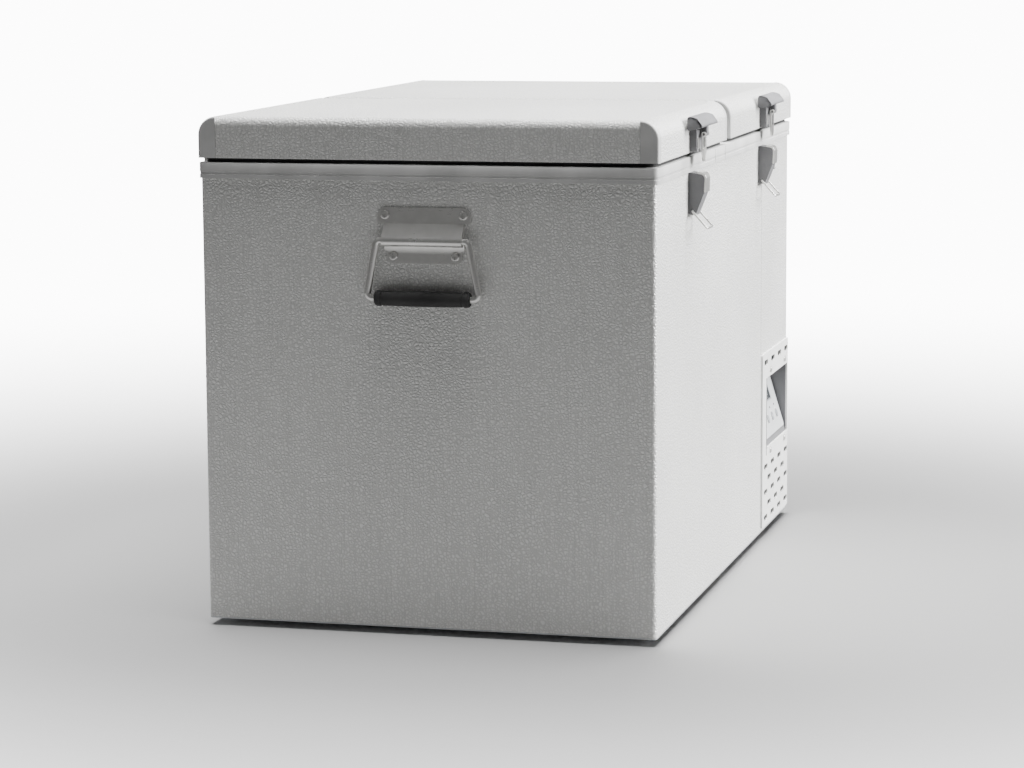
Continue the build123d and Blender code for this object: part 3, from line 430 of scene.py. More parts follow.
# --------------------------------------------------------------------------- mesh helpers
class Shop:
    """Turns finished bmeshes into named pieces that ride on a body."""

    def __init__(self, finishes: Finishes) -> None:
        """Keep the finishes that pieces are coated with."""
        self.finishes = finishes
        self.count = 0

    def piece(self, name: str, mesh: bmesh.types.BMesh, body: str, finish: Finish,
              replaces: Sequence[str] = (), smooth: float = 40.0) -> None:
        """Finish one piece.

        Args:
            name: Name of the new piece.
            mesh: Its shape, in metres, in place. It is freed.
            body: CAD body that it rides on.
            finish: What it is made of.
            replaces: CAD nodes that it stands for.
            smooth: Edges sharper than this many degrees stay crisp.
        """
        bmesh.ops.recalc_face_normals(mesh, faces=mesh.faces)
        data = bpy.data.meshes.new(name)
        mesh.to_mesh(data)
        mesh.free()
        made = bpy.data.objects.new(name, data)
        bpy.context.scene.collection.objects.link(made)
        data.shade_smooth()
        data.set_sharp_from_angle(angle=math.radians(smooth))
        self.finishes.coat(made, finish)
        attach(made, body)
        if replaces:
            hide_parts(*replaces)
        self.count += 1
        LOG.info("piece %s on %s", name, body)


def soften(mesh: bmesh.types.BMesh, edges: Sequence[bmesh.types.BMEdge], radius: float,
           segments: int = 2) -> None:
    """Round some edges.

    Args:
        mesh: Mesh that holds them.
        edges: The edges to round.
        radius: Width taken off each side, in metres.
        segments: Steps in the rounding.
    """
    bmesh.ops.bevel(mesh, geom=edges, offset=radius, segments=segments, affect="EDGES",
                    profile=0.5, material=-1)


def solid_box(mesh: bmesh.types.BMesh, low: Point, high: Point, round_by: float = 0.0,
              segments: int = 1) -> None:
    """Add a box with rounded edges.

    Args:
        mesh: Mesh to add to.
        low: Lowest corner.
        high: Highest corner.
        round_by: Radius of every edge.
        segments: Steps in that rounding.
    """
    made = bmesh.ops.create_cube(mesh, size=1.0)["verts"]
    size = Vector(high) - Vector(low)
    middle = (Vector(high) + Vector(low)) / 2
    place = Matrix.Translation(middle) @ Matrix.Diagonal((*size, 1.0))
    bmesh.ops.transform(mesh, verts=made, matrix=place)
    if round_by:
        soften(mesh, list({e for v in made for e in v.link_edges}), round_by, segments)


def lathe(mesh: bmesh.types.BMesh, profile: Sequence[Spot], centre: Point,
          axis: Point, steps: int = 48) -> None:
    """Spin an (along, radius) outline round an axis.

    Args:
        mesh: Mesh to add to.
        profile: Points in mm, as distance along the axis and radius, which may touch the axis.
        centre: Point on the axis where along is 0, in metres.
        axis: Direction of the axis.
        steps: Number of steps in the full turn.
    """
    before = set(mesh.verts)
    turn = Vector((0, 0, 1)).rotation_difference(Vector(axis)).to_matrix().to_4x4()
    place = Matrix.Translation(centre) @ turn
    verts = [mesh.verts.new(place @ Vector((max(r * MM, 1e-7), 0, along * MM)))
             for along, r in profile]
    edges = [mesh.edges.new(pair) for pair in zip(verts, verts[1:])]
    bmesh.ops.spin(mesh, geom=verts + edges, cent=centre, axis=axis, dvec=(0, 0, 0),
                   angle=2 * math.pi, steps=steps, use_merge=True, use_duplicate=False)
    made = [v for v in mesh.verts if v not in before]
    bmesh.ops.remove_doubles(mesh, verts=made, dist=2e-6)


def rounded_loop(x0: float, x1: float, y0: float, y1: float, radius: float,
                 steps: int = 6) -> list[Spot]:
    """Points round a rectangle with rounded corners, anticlockwise."""
    points = []
    corners = ((x1 - radius, y1 - radius, 0.0), (x0 + radius, y1 - radius, 90.0),
               (x0 + radius, y0 + radius, 180.0), (x1 - radius, y0 + radius, 270.0))
    for cx, cy, start in corners:
        for i in range(steps + 1):
            angle = math.radians(start + 90.0 * i / steps)
            points.append((cx + radius * math.cos(angle), cy + radius * math.sin(angle)))
    return points


def closed_ring(mesh: bmesh.types.BMesh, points: Sequence[Point]) -> Ring:
    """Join points, in metres, by edges that run round to the first again."""
    verts = [mesh.verts.new(point) for point in points]
    return [mesh.edges.new(pair) for pair in zip(verts, verts[1:] + verts[:1])]


def level_ring(mesh: bmesh.types.BMesh, loop: Sequence[Spot], inset: float, height: float) -> Ring:
    """One level ring of edges, drawn in from a loop.

    Args:
        mesh: Mesh to add to.
        loop: Points of the loop, anticlockwise, in mm.
        inset: How far inside the loop the ring lies, in mm.
        height: Height of the ring, in mm.

    Returns:
        The edges, in order.
    """
    points = []
    for i, (x, y) in enumerate(loop):
        bx, by = loop[i - 1]
        ax, ay = loop[(i + 1) % len(loop)]
        along = Vector((ax - bx, ay - by)).normalized()
        points.append(((x - along.y * inset) * MM, (y + along.x * inset) * MM, height * MM))
    return closed_ring(mesh, points)


def bridge_all(mesh: bmesh.types.BMesh, rings: Sequence[Ring]) -> None:
    """Bridge each ring to the next."""
    for here, there in zip(rings, rings[1:]):
        bmesh.ops.bridge_loops(mesh, edges=here + there)


def step_all(mesh: bmesh.types.BMesh, rings: Sequence[Ring]) -> None:
    """Join each ring to the next where some lie in one plane, which bridging would pair wrongly."""
    for here, there in zip(rings, rings[1:]):
        for one, other in zip(here, there):
            mesh.faces.new((one.verts[0], one.verts[1], other.verts[1], other.verts[0]))


def cap(mesh: bmesh.types.BMesh, *rings: Ring) -> None:
    """Close each ring with one face."""
    for ring in rings:
        bmesh.ops.contextual_create(mesh, geom=ring)


def thicken(mesh: bmesh.types.BMesh, outline: Sequence[Point],
            shift: Point) -> tuple[list[bmesh.types.BMVert], list[bmesh.types.BMVert]]:
    """Make an outline a plate.

    Args:
        mesh: Mesh to add to.
        outline: Corners of one side, in metres.
        shift: From that side to the other.

    Returns:
        The corners of both sides.
    """
    near = [mesh.verts.new(point) for point in outline]
    grown = bmesh.ops.extrude_face_region(mesh, geom=[mesh.faces.new(near)])["geom"]
    far = [item for item in grown if isinstance(item, bmesh.types.BMVert)]
    bmesh.ops.translate(mesh, verts=far, vec=shift)
    return near, far


def pour(part: bmesh.types.BMesh, mesh: bmesh.types.BMesh) -> None:
    """Add one mesh to another, and free it."""
    data = bpy.data.meshes.new("part")
    part.to_mesh(data)
    part.free()
    mesh.from_mesh(data)
    bpy.data.meshes.remove(data)


def wire_path(points: Sequence[Point], radius: float, steps: int = 8) -> list[Vector]:
    """A run of straight lengths joined by arcs of one radius.

    Args:
        points: Corner points.
        radius: Bend radius on the centre line.
        steps: Points in each bend.

    Returns:
        The points to follow.
    """
    spots = [Vector(p) for p in points]
    path = [spots[0]]
    for before, corner, after in zip(spots, spots[1:], spots[2:]):
        a = (before - corner).normalized()
        b = (after - corner).normalized()
        half = a.angle(b) / 2
        reach = radius / math.tan(half)
        middle = corner + (a + b).normalized() * (radius / math.sin(half))
        start = corner + a * reach - middle
        end = corner + b * reach - middle
        for i in range(steps + 1):
            path.append(middle + start.normalized().slerp(end.normalized(), i / steps) * radius)
    path.append(spots[-1])
    return path


def tube(mesh: bmesh.types.BMesh, path: Sequence[Vector], radius: float, sides: int = 20) -> None:
    """Add a round wire along a path, closed at both ends.

    Args:
        mesh: Mesh to add to.
        path: Points of the centre line, in one plane.
        radius: Radius of the wire.
        sides: Facets round it.
    """
    ring = None
    for i, spot in enumerate(path):
        ahead = path[min(i + 1, len(path) - 1)] - spot
        behind = spot - path[max(i - 1, 0)]
        heading = (ahead.normalized() + behind.normalized()).normalized()
        turn = Vector((0, 0, 1)).rotation_difference(heading).to_matrix().to_4x4()
        made = bmesh.ops.create_circle(mesh, cap_ends=False, radius=radius, segments=sides,
                                       matrix=Matrix.Translation(spot) @ turn)["verts"]
        edges = list({e for v in made for e in v.link_edges})
        if ring:
            bmesh.ops.bridge_loops(mesh, edges=ring + edges)
        else:
            cap(mesh, edges)
        ring = edges
    cap(mesh, ring)


# --------------------------------------------------------------------------- cabinet pieces
@dataclass
class RimBand:
    """The plastic band that caps the steel, in one seamless run with two joints."""

    x_half: float = 401.5
    front: float = -252.5
    back: float = 251.5
    low: float = 490.0
    high: float = 507.0
    inner: tuple[float, float, float, float] = (-358.0, 358.0, -212.0, 212.0)
    divider: tuple[float, float] = (-50.0, 15.0)
    joints: tuple[float, float] = (-93.0, -35.0)
    corner: float = 6.0
    opening_corner: float = 14.0

    def build(self, shop: Shop) -> None:
        """Make the band, then its joints.

        Args:
            shop: Where the pieces are finished.
        """
        mesh = bmesh.new()
        low, high = self.low, self.high
        outer = rounded_loop(-self.x_half, self.x_half, self.front, self.back, self.corner)
        section = ((0.0, low), (0.0, low + 4.0), (0.5, low + 4.5), (0.5, low + 6.5),
                   (0.0, low + 7.0), (0.0, high - 0.9), (0.3, high - 0.25), (0.9, high))
        wall = [level_ring(mesh, outer, depth, height) for depth, height in section]
        bridge_all(mesh, wall)
        bottom, top = wall[0], wall[-1]
        for x0, x1 in ((self.inner[0], self.divider[0]), (self.divider[1], self.inner[1])):
            hole = rounded_loop(x0, x1, self.inner[2], self.inner[3], self.opening_corner)
            lip = level_ring(mesh, hole, 0.0, high - 1.5)
            brow = level_ring(mesh, hole, -1.5, high)
            foot = level_ring(mesh, hole, 0.0, low)
            bridge_all(mesh, (foot, lip, brow))
            bottom, top = bottom + foot, top + brow
        bmesh.ops.triangle_fill(mesh, edges=top, use_beauty=True)
        bmesh.ops.triangle_fill(mesh, edges=bottom, use_beauty=True)
        shop.piece("rim_band", mesh, "cabinet", Finish.GREY_PLASTIC, ("rim_bands",), 35.0)
        self._joint_lines(shop)

    def _joint_lines(self, shop: Shop) -> None:
        """Thin dark strips that stand for the open joints in the band."""
        mesh = bmesh.new()
        for x in self.joints:
            for y in (self.front - 0.05, self.back - 0.15):
                solid_box(mesh, ((x - 0.45) * MM, y * MM, (self.low + 0.4) * MM),
                          ((x + 0.45) * MM, (y + 0.2) * MM, (self.high - 1.6) * MM), 0.00005)
        shop.piece("rim_joint_lines", mesh, "cabinet", Finish.BLACK_PLASTIC)


@dataclass
class JointStripAndPaintedShadows:
    """A black strip behind the cover's joint, a black strip by the control recess that paints the
    shade at its edge, and a black ring round the badge that paints its shadow outline.
    """

    joint: tuple[float, float] = (212.6, 214.0)
    low: float = 12.0
    high: float = 489.5
    joint_y: tuple[float, float] = (-249.75, 248.9)
    recess_x: float = 241.4
    recess: tuple[float, float] = (101.0, 198.0)
    recess_y: tuple[float, float] = (-252.6, -252.1)
    badge: Point = (0.300, -0.250, 0.465)

    def build(self, shop: Shop) -> None:
        """Make the joint strip, the painted shade strip and the painted shadow ring."""
        mesh = bmesh.new()
        for y in self.joint_y:
            solid_box(mesh, (self.joint[0] * MM, y * MM, self.low * MM),
                      (self.joint[1] * MM, (y + 0.85) * MM, self.high * MM), 0.00008)
        # Black strip by the control recess's edge: painted shade.
        x = self.recess_x
        solid_box(mesh, ((x - 0.7) * MM, self.recess_y[0] * MM, self.recess[0] * MM),
                  ((x + 0.7) * MM, self.recess_y[1] * MM, self.recess[1] * MM), 0.0001, 2)
        # Black ring round the badge: a painted shadow outline.
        painted_shadow_ring = ((0.0, 10.6), (0.0, 11.9), (0.5, 11.8), (0.7, 11.3), (0.7, 10.6), (0.0, 10.6))
        lathe(mesh, painted_shadow_ring, self.badge, (0, -1, 0))
        shop.piece("joint_strip_and_painted_shadows", mesh, "cabinet", Finish.BLACK_PLASTIC)


@dataclass
class Liners:
    """Both moulded compartments, with rounded corners and a softly bent floor."""

    wall_y: float = 212.0
    top: float = 490.0
    floor: float = 50.0
    left: Spot = (-358.0, -50.0)
    right: Spot = (15.0, 358.0)
    step_x: float = 172.0
    step_z: float = 300.0
    corner: float = 14.0
    cove: float = 10.0

    def build(self, shop: Shop) -> None:
        """Make both liners as one piece."""
        mesh = bmesh.new()
        self._tub(mesh)
        self._stepped(mesh)
        bmesh.ops.remove_doubles(mesh, verts=mesh.verts, dist=1e-6)
        shop.piece("liners", mesh, "cabinet", Finish.LINER, ("inner_liners",), 50.0)

    def _tub(self, mesh: bmesh.types.BMesh, steps: int = 5) -> None:
        """The left compartment: an open box with coved floor edges."""
        loop = rounded_loop(*self.left, -self.wall_y, self.wall_y, self.corner)
        rings = [level_ring(mesh, loop, -SHEET, self.top), level_ring(mesh, loop, 0.0, self.top)]
        for i in range(steps + 1):
            angle = math.radians(90.0 * i / steps)
            rings.append(level_ring(mesh, loop, self.cove * (1 - math.cos(angle)),
                                    self.floor + self.cove * (1 - math.sin(angle))))
        under = level_ring(mesh, loop, -SHEET, self.floor - SHEET)
        bridge_all(mesh, rings)
        bridge_all(mesh, (rings[0], under))
        cap(mesh, rings[-1], under)

    def _stepped(self, mesh: bmesh.types.BMesh) -> None:
        """The right compartment: a deep part and a shelf over the compressor."""
        made = bmesh.new()
        near, far = self.right
        profile = ((near, self.top), (near, self.floor), (self.step_x, self.floor),
                   (self.step_x, self.step_z), (far, self.step_z), (far, self.top))
        thicken(made, [(x * MM, -self.wall_y * MM, z * MM) for x, z in profile],
                (0, 2 * self.wall_y * MM, 0))
        upright = [e for e in made.edges if abs(e.verts[0].co.z - e.verts[1].co.z) > 0.05]
        soften(made, upright, self.corner * MM, 5)
        level = [e for e in made.edges if e.calc_face_angle(0.0) > 1.2
                 and max(v.co.z for v in e.verts) < (self.top - 5) * MM]
        soften(made, level, self.cove * 0.8 * MM, 4)
        made.normal_update()
        lid = [f for f in made.faces if abs(f.normal.z) > 0.9
               and f.calc_center_median().z > (self.top - 1) * MM]
        bmesh.ops.delete(made, geom=lid, context="FACES")
        bmesh.ops.recalc_face_normals(made, faces=made.faces)
        bmesh.ops.solidify(made, geom=made.faces[:], thickness=-SHEET * MM)
        pour(made, mesh)


@dataclass
class Feet:
    """Four turned rubber feet with a domed tread and a grip ring."""

    x: float = 340.0
    y: float = 205.0
    height: float = 8.0
    radius: float = 21.0

    def build(self, shop: Shop) -> None:
        """Make the feet."""
        mesh = bmesh.new()
        r, h = self.radius, self.height
        outline = ((h, 2.5), (h, r), (2.5, r), (1.2, r - 0.4), (0.4, r - 1.2), (0.0, r - 2.6),
                   (0.0, r - 5.5), (0.8, r - 6.0), (0.8, r - 7.5), (0.0, r - 8.0), (0.0, 7.8),
                   (0.5, 7.0), (4.5, 7.0), (4.5, 2.5), (h, 2.5))
        for sx in (-1, 1):
            for sy in (-1, 1):
                lathe(mesh, outline, (sx * self.x * MM, sy * self.y * MM, 0.0), (0, 0, 1), 40)
        shop.piece("rubber_feet", mesh, "cabinet", Finish.RUBBER, ("feet",), 35.0)


@dataclass
class LidPan:
    """The inner moulding of one lid: a flat plate and a plug with a dished middle."""

    side: str
    x0: float
    x1: float
    plug: Spot
    block_x: float = 11.0
    block_y: float = 20.0
    thick: float = 3.0
    plug_y: float = 203.0
    plug_corner: float = 30.0

    def build(self, shop: Shop) -> None:
        """Make the plate in three butted lengths, then the plug under it."""
        mesh = bmesh.new()
        a, b = self.x0 + SHEET, self.x1 - SHEET
        inner_a, inner_b = self.x0 + self.block_x, self.x1 - self.block_x
        ends = (LID_FRONT + self.block_y, LID_BACK - self.block_y)
        lengths = ((inner_a, inner_b, LID_FRONT + SHEET, LID_BACK - SHEET),
                   (a, inner_a, *ends), (inner_b, b, *ends))
        for x0, x1, y0, y1 in lengths:
            solid_box(mesh, (x0 * MM, y0 * MM, LID_LOW * MM),
                      (x1 * MM, y1 * MM, (LID_LOW + self.thick) * MM))
        loop = rounded_loop(*self.plug, -self.plug_y, self.plug_y, self.plug_corner, 8)
        steps = ((0.0, 0.0), (0.0, -4.0), (0.5, -5.6), (1.6, -6.6), (3.2, -7.0), (20.0, -7.0),
                 (21.2, -6.6), (22.4, -5.4), (24.0, -5.0))
        rings = [level_ring(mesh, loop, u, LID_LOW + v) for u, v in steps]
        step_all(mesh, rings)
        cap(mesh, rings[-1], rings[0])
        shop.piece(f"inner_pan_{self.side}", mesh, f"lid_{self.side}", Finish.LINER,
                   (f"lid_pan_{self.side}",), 30.0)


@dataclass
class LidGasket:
    """A bellows seal under one lid."""

    side: str
    x0: float
    x1: float
    inset: float = 4.0
    width: float = 13.0
    corner: float = 16.0
    low: float = 507.2

    def build(self, shop: Shop) -> None:
        """Sweep the bellows section round the lid."""
        mesh = bmesh.new()
        loop = rounded_loop(self.x0 + self.inset, self.x1 - self.inset, LID_FRONT + self.inset,
                            LID_BACK - self.inset, self.corner, 5)
        tall = LID_LOW - self.low
        w = self.width
        section = ((0.6, 0.0), (w - 0.6, 0.0), (w, 0.6), (w, 1.3), (w - 1.0, 1.7), (w - 1.0, 2.3),
                   (w, 2.7), (w, tall), (0.0, tall), (0.0, 2.7), (1.0, 2.3), (1.0, 1.7), (0.0, 1.3),
                   (0.0, 0.6))
        rings = [level_ring(mesh, loop, u, self.low + v) for u, v in section]
        step_all(mesh, rings + rings[:1])
        shop.piece(f"gasket_{self.side}", mesh, f"lid_{self.side}", Finish.RUBBER,
                   (f"lid_gasket_{self.side}",), 35.0)


# --------------------------------------------------------------------------- latches
@dataclass
class Latch:
    """Pull hood and slotted tongue on a lid, with the wire loop of the catch below."""

    side: str
    x: float
    pivot_z: float = 546.0
    half: float = 43.0
    lip: float = 20.5
    stations: int = 28
    cheek_thick: float = 3.0
    lug_half: float = 5.3
    tongue_p: float = 13.0
    tongue_z: float = 531.0
    tongue_low: float = 501.0
    tongue_half: float = 10.0
    tongue_faces: Spot = (11.9, 10.5)
    slot_half: float = 5.8
    slot_low: float = 514.0
    loop_y: float = -255.0
    loop_z: float = 448.0
    loop_half: float = 15.0
    loop_reach: float = 25.0
    loop_tilt: float = 42.0
    loop_bend: float = 2.6
    loop_wire: float = 1.2

    def _at(self, x: float, p: float, z: float) -> Vector:
        """A point p in front of the lid, in metres."""
        return Vector(((self.x + x) * MM, (LID_FRONT - p) * MM, z * MM))

    def _reach(self, x: float) -> float:
        """How far out the visor's lip stands at a distance along it."""
        return self.lip - 2.2 * abs(x / self.half) ** 2.4

    def hood(self, shop: Shop) -> None:
        """Loft the visor from one end to the other, then add cheeks and the lug."""
        mesh = bmesh.new()
        rings = []
        for i in range(self.stations + 1):
            rings.append(self._visor_ring(mesh, -self.half + 2 * self.half * i / self.stations))
        bridge_all(mesh, rings)
        cap(mesh, rings[0], rings[-1])
        for sign in (-1, 1):
            self._cheek(mesh, sign)
        self._lug(mesh)
        shop.piece(f"hood_{self.side}", mesh, f"hood_{self.side}", Finish.LATCH,
                   (f"latch_hood_{self.side}",), 38.0)

    def _visor_ring(self, mesh: bmesh.types.BMesh, x: float) -> Ring:
        """The visor's section at one place along it."""
        far = self._reach(x)
        drop = 0.9 * abs(x / self.half) ** 3
        top = ((1.6, 2.2), (1.9, 4.4), (3.2, 5.7), (5.0, 6.0 - drop * 0.3), (9.0, 5.5 - drop * 0.5),
               (13.0, 4.1 - drop * 0.7), (far - 3.4, 1.5 - drop), (far - 1.2, -1.0 - drop),
               (far - 0.2, -2.9 - drop), (far, -4.0 - drop), (far - 0.5, -5.1 - drop),
               (far - 1.4, -5.0 - drop), (far - 2.4, -3.4 - drop), (far - 4.6, -0.9 - drop),
               (12.0, 1.9 - drop * 0.7), (8.6, 3.5 - drop * 0.5), (5.4, 4.1), (3.6, 3.7),
               (2.9, 2.2))
        return closed_ring(mesh, [self._at(x, p, self.pivot_z + z) for p, z in top])

    def _cheek(self, mesh: bmesh.types.BMesh, sign: int) -> None:
        """One rounded end plate of the visor."""
        tip = self._reach(self.half)
        z = self.pivot_z
        outline = ((1.4, z + 1.0), (1.8, z + 4.0), (3.2, z + 5.6), (5.0, z + 5.7), (9.0, z + 4.9),
                   (tip - 3.2, z + 0.9), (tip - 0.6, z - 3.4), (tip - 0.4, z - 4.8),
                   (tip - 1.6, z - 6.0), (8.0, z - 8.4), (4.6, z - 9.2), (2.4, z - 8.9),
                   (1.0, z - 7.0))
        x = sign * (self.half - self.cheek_thick)
        _, far = thicken(mesh, [self._at(x, p, h) for p, h in outline],
                         (sign * self.cheek_thick * MM, 0, 0))
        outer = {e for v in far for e in v.link_edges if all(w in far for w in e.verts)}
        soften(mesh, list(outer), 0.7 * MM)

    def _lug(self, mesh: bmesh.types.BMesh) -> None:
        """The lug under the visor, with the pin that the tongue swings on."""
        z, t = self.pivot_z, self.tongue_z
        outline = ((15.4, z - 0.6), (12.6, z + 1.9), (9.9, z + 3.2), (10.0, t + 2.0),
                   (10.6, t - 1.6), (13.0, t - 2.8), (15.4, t - 1.6), (15.8, t + 1.0))
        near, far = thicken(mesh, [self._at(-self.lug_half, p, h) for p, h in outline],
                            (2 * self.lug_half * MM, 0, 0))
        sides = {e for v in near + far for e in v.link_edges
                 if abs(e.verts[0].co.x - e.verts[1].co.x) < 1e-6}
        soften(mesh, list(sides), 0.4 * MM)
        pin = ((-9.5, 0.0), (-9.5, 1.1), (-9.1, 1.5), (9.1, 1.5), (9.5, 1.1), (9.5, 0.0))
        lathe(mesh, pin, self._at(0, self.tongue_p, t), (1, 0, 0), 20)

    def tongue(self, shop: Shop) -> None:
        """A pressed steel tongue with a long slot, a rounded end and rolled knuckles."""
        mesh = bmesh.new()
        half, slot, high = self.tongue_half, self.slot_half, self.tongue_z
        outer = self._plate_loop(half, self.tongue_low, high + 0.6, 9.5, 1.0)
        inner = self._plate_loop(slot, self.slot_low, high - 3.2, 4.0, 1.2)
        sides = [[closed_ring(mesh, [self._at(x, p, z) for x, z in loop])
                  for loop in (outer, inner)] for p in self.tongue_faces]
        for rim, hole in sides:
            bmesh.ops.triangle_fill(mesh, edges=rim + hole, use_beauty=True)
        for fore, aft in zip(*sides):
            bridge_all(mesh, (fore, aft))
        rims = [e for e in mesh.edges if e.calc_face_angle(0.0) > 1.0]
        soften(mesh, rims, 0.3 * MM)
        for a, b in ((-half, -slot), (slot, half)):
            knuckle = ((a, 1.6), (a, 2.3), (a + 0.3, 2.6), (b - 0.3, 2.6), (b, 2.3), (b, 1.6),
                       (a, 1.6))
            lathe(mesh, knuckle, self._at(0, self.tongue_p, high), (1, 0, 0), 24)
        shop.piece(f"tongue_{self.side}", mesh, f"tongue_{self.side}", Finish.STAINLESS,
                   (f"latch_tongue_{self.side}",), 38.0)

    @staticmethod
    def _plate_loop(half: float, low: float, high: float, low_r: float,
                    high_r: float) -> list[Spot]:
        """An upright plate outline with its own radius at each end."""
        top, bottom = high - high_r, low + low_r
        corners = ((half - high_r, top, 0.0, high_r), (-half + high_r, top, 90.0, high_r),
                   (-half + low_r, bottom, 180.0, low_r), (half - low_r, bottom, 270.0, low_r))
        points = []
        for cx, cz, start, r in corners:
            for i in range(7):
                angle = math.radians(start + 15.0 * i)
                points.append((cx + r * math.cos(angle), cz + r * math.sin(angle)))
        return points

    def loop(self, shop: Shop) -> None:
        """The wire loop that hangs from the catch."""
        mesh = bmesh.new()
        tilt = math.radians(self.loop_tilt)
        y0, z0, w = self.loop_y, self.loop_z, self.loop_half
        y1 = y0 - self.loop_reach * math.sin(tilt)
        z1 = z0 - self.loop_reach * math.cos(tilt)
        spots = ((-7, y0, z0), (-w, y0, z0), (-w, y1, z1), (w, y1, z1), (w, y0, z0), (7, y0, z0))
        points = [((self.x + x) * MM, y * MM, z * MM) for x, y, z in spots]
        tube(mesh, wire_path(points, self.loop_bend * MM, 7), self.loop_wire * MM, 16)
        shop.piece(f"wire_loop_{self.side}", mesh, f"loop_{self.side}", Finish.STAINLESS,
                   (f"catch_loop_{self.side}",))

    def build(self, shop: Shop) -> None:
        """Make every moving part of the latch."""
        self.hood(shop)
        self.tongue(shop)
        self.loop(shop)


# --------------------------------------------------------------------------- handles
@dataclass
class DropHandle:
    """Wire bail with a moulded grip, hanging from its plate on one end."""

    side: str
    sign: int
    end_x: float = 398.5
    out: float = 10.0
    axis_z: float = 427.0
    drop: float = 61.0
    wire: float = 3.7
    bend: float = 5.5
    tail_half: float = 23.0
    top_half: float = 50.5
    low_half: float = 62.0
    grip_half: float = 52.5
    grip_r: float = 8.5

    def build(self, shop: Shop) -> None:
        """Make the bail, then the grip."""
        x = self.sign * (self.end_x + self.out) * MM
        low = (self.axis_z - self.drop) * MM
        top = self.axis_z * MM
        tail, t, w = self.tail_half * MM, self.top_half * MM, self.low_half * MM
        points = [(x, tail, top), (x, t, top), (x, w, low), (x, -w, low), (x, -t, top),
                  (x, -tail, top)]
        mesh = bmesh.new()
        tube(mesh, wire_path(points, self.bend * MM, 9), self.wire * MM, 24)
        shop.piece(f"bail_{self.side}", mesh, f"bail_{self.side}", Finish.STAINLESS,
                   (f"handle_bail_{self.side}",), 45.0)
        self._grip(shop, x, low)

    def _grip(self, shop: Shop, x: float, z: float, spots: int = 12) -> None:
        """A barrel-shaped grip with an end collar each side."""
        half, r = self.grip_half, self.grip_r
        collar = [(-half, 3.8), (-half, r - 2.4), (-half + 0.9, r - 1.0), (-half + 2.6, r - 0.2),
                  (-half + 6.0, r), (-half + 7.0, r - 0.3), (-half + 7.6, r - 0.9),
                  (-half + 8.6, r - 0.9), (-half + 9.2, r - 0.4)]
        inner = half - 9.2
        barrel = []
        for i in range(spots + 1):
            along = -inner + 2 * inner * i / spots
            barrel.append((along, r - 0.45 + 0.4 * (1 - (along / inner) ** 2)))
        outline = collar + barrel + [(-a, b) for a, b in reversed(collar)] + collar[:1]
        mesh = bmesh.new()
        lathe(mesh, outline, (x, 0.0, z), (0, 1, 0), 40)
        shop.piece(f"grip_{self.side}", mesh, f"bail_{self.side}", Finish.RUBBER,
                   (f"handle_grip_{self.side}",), 50.0)


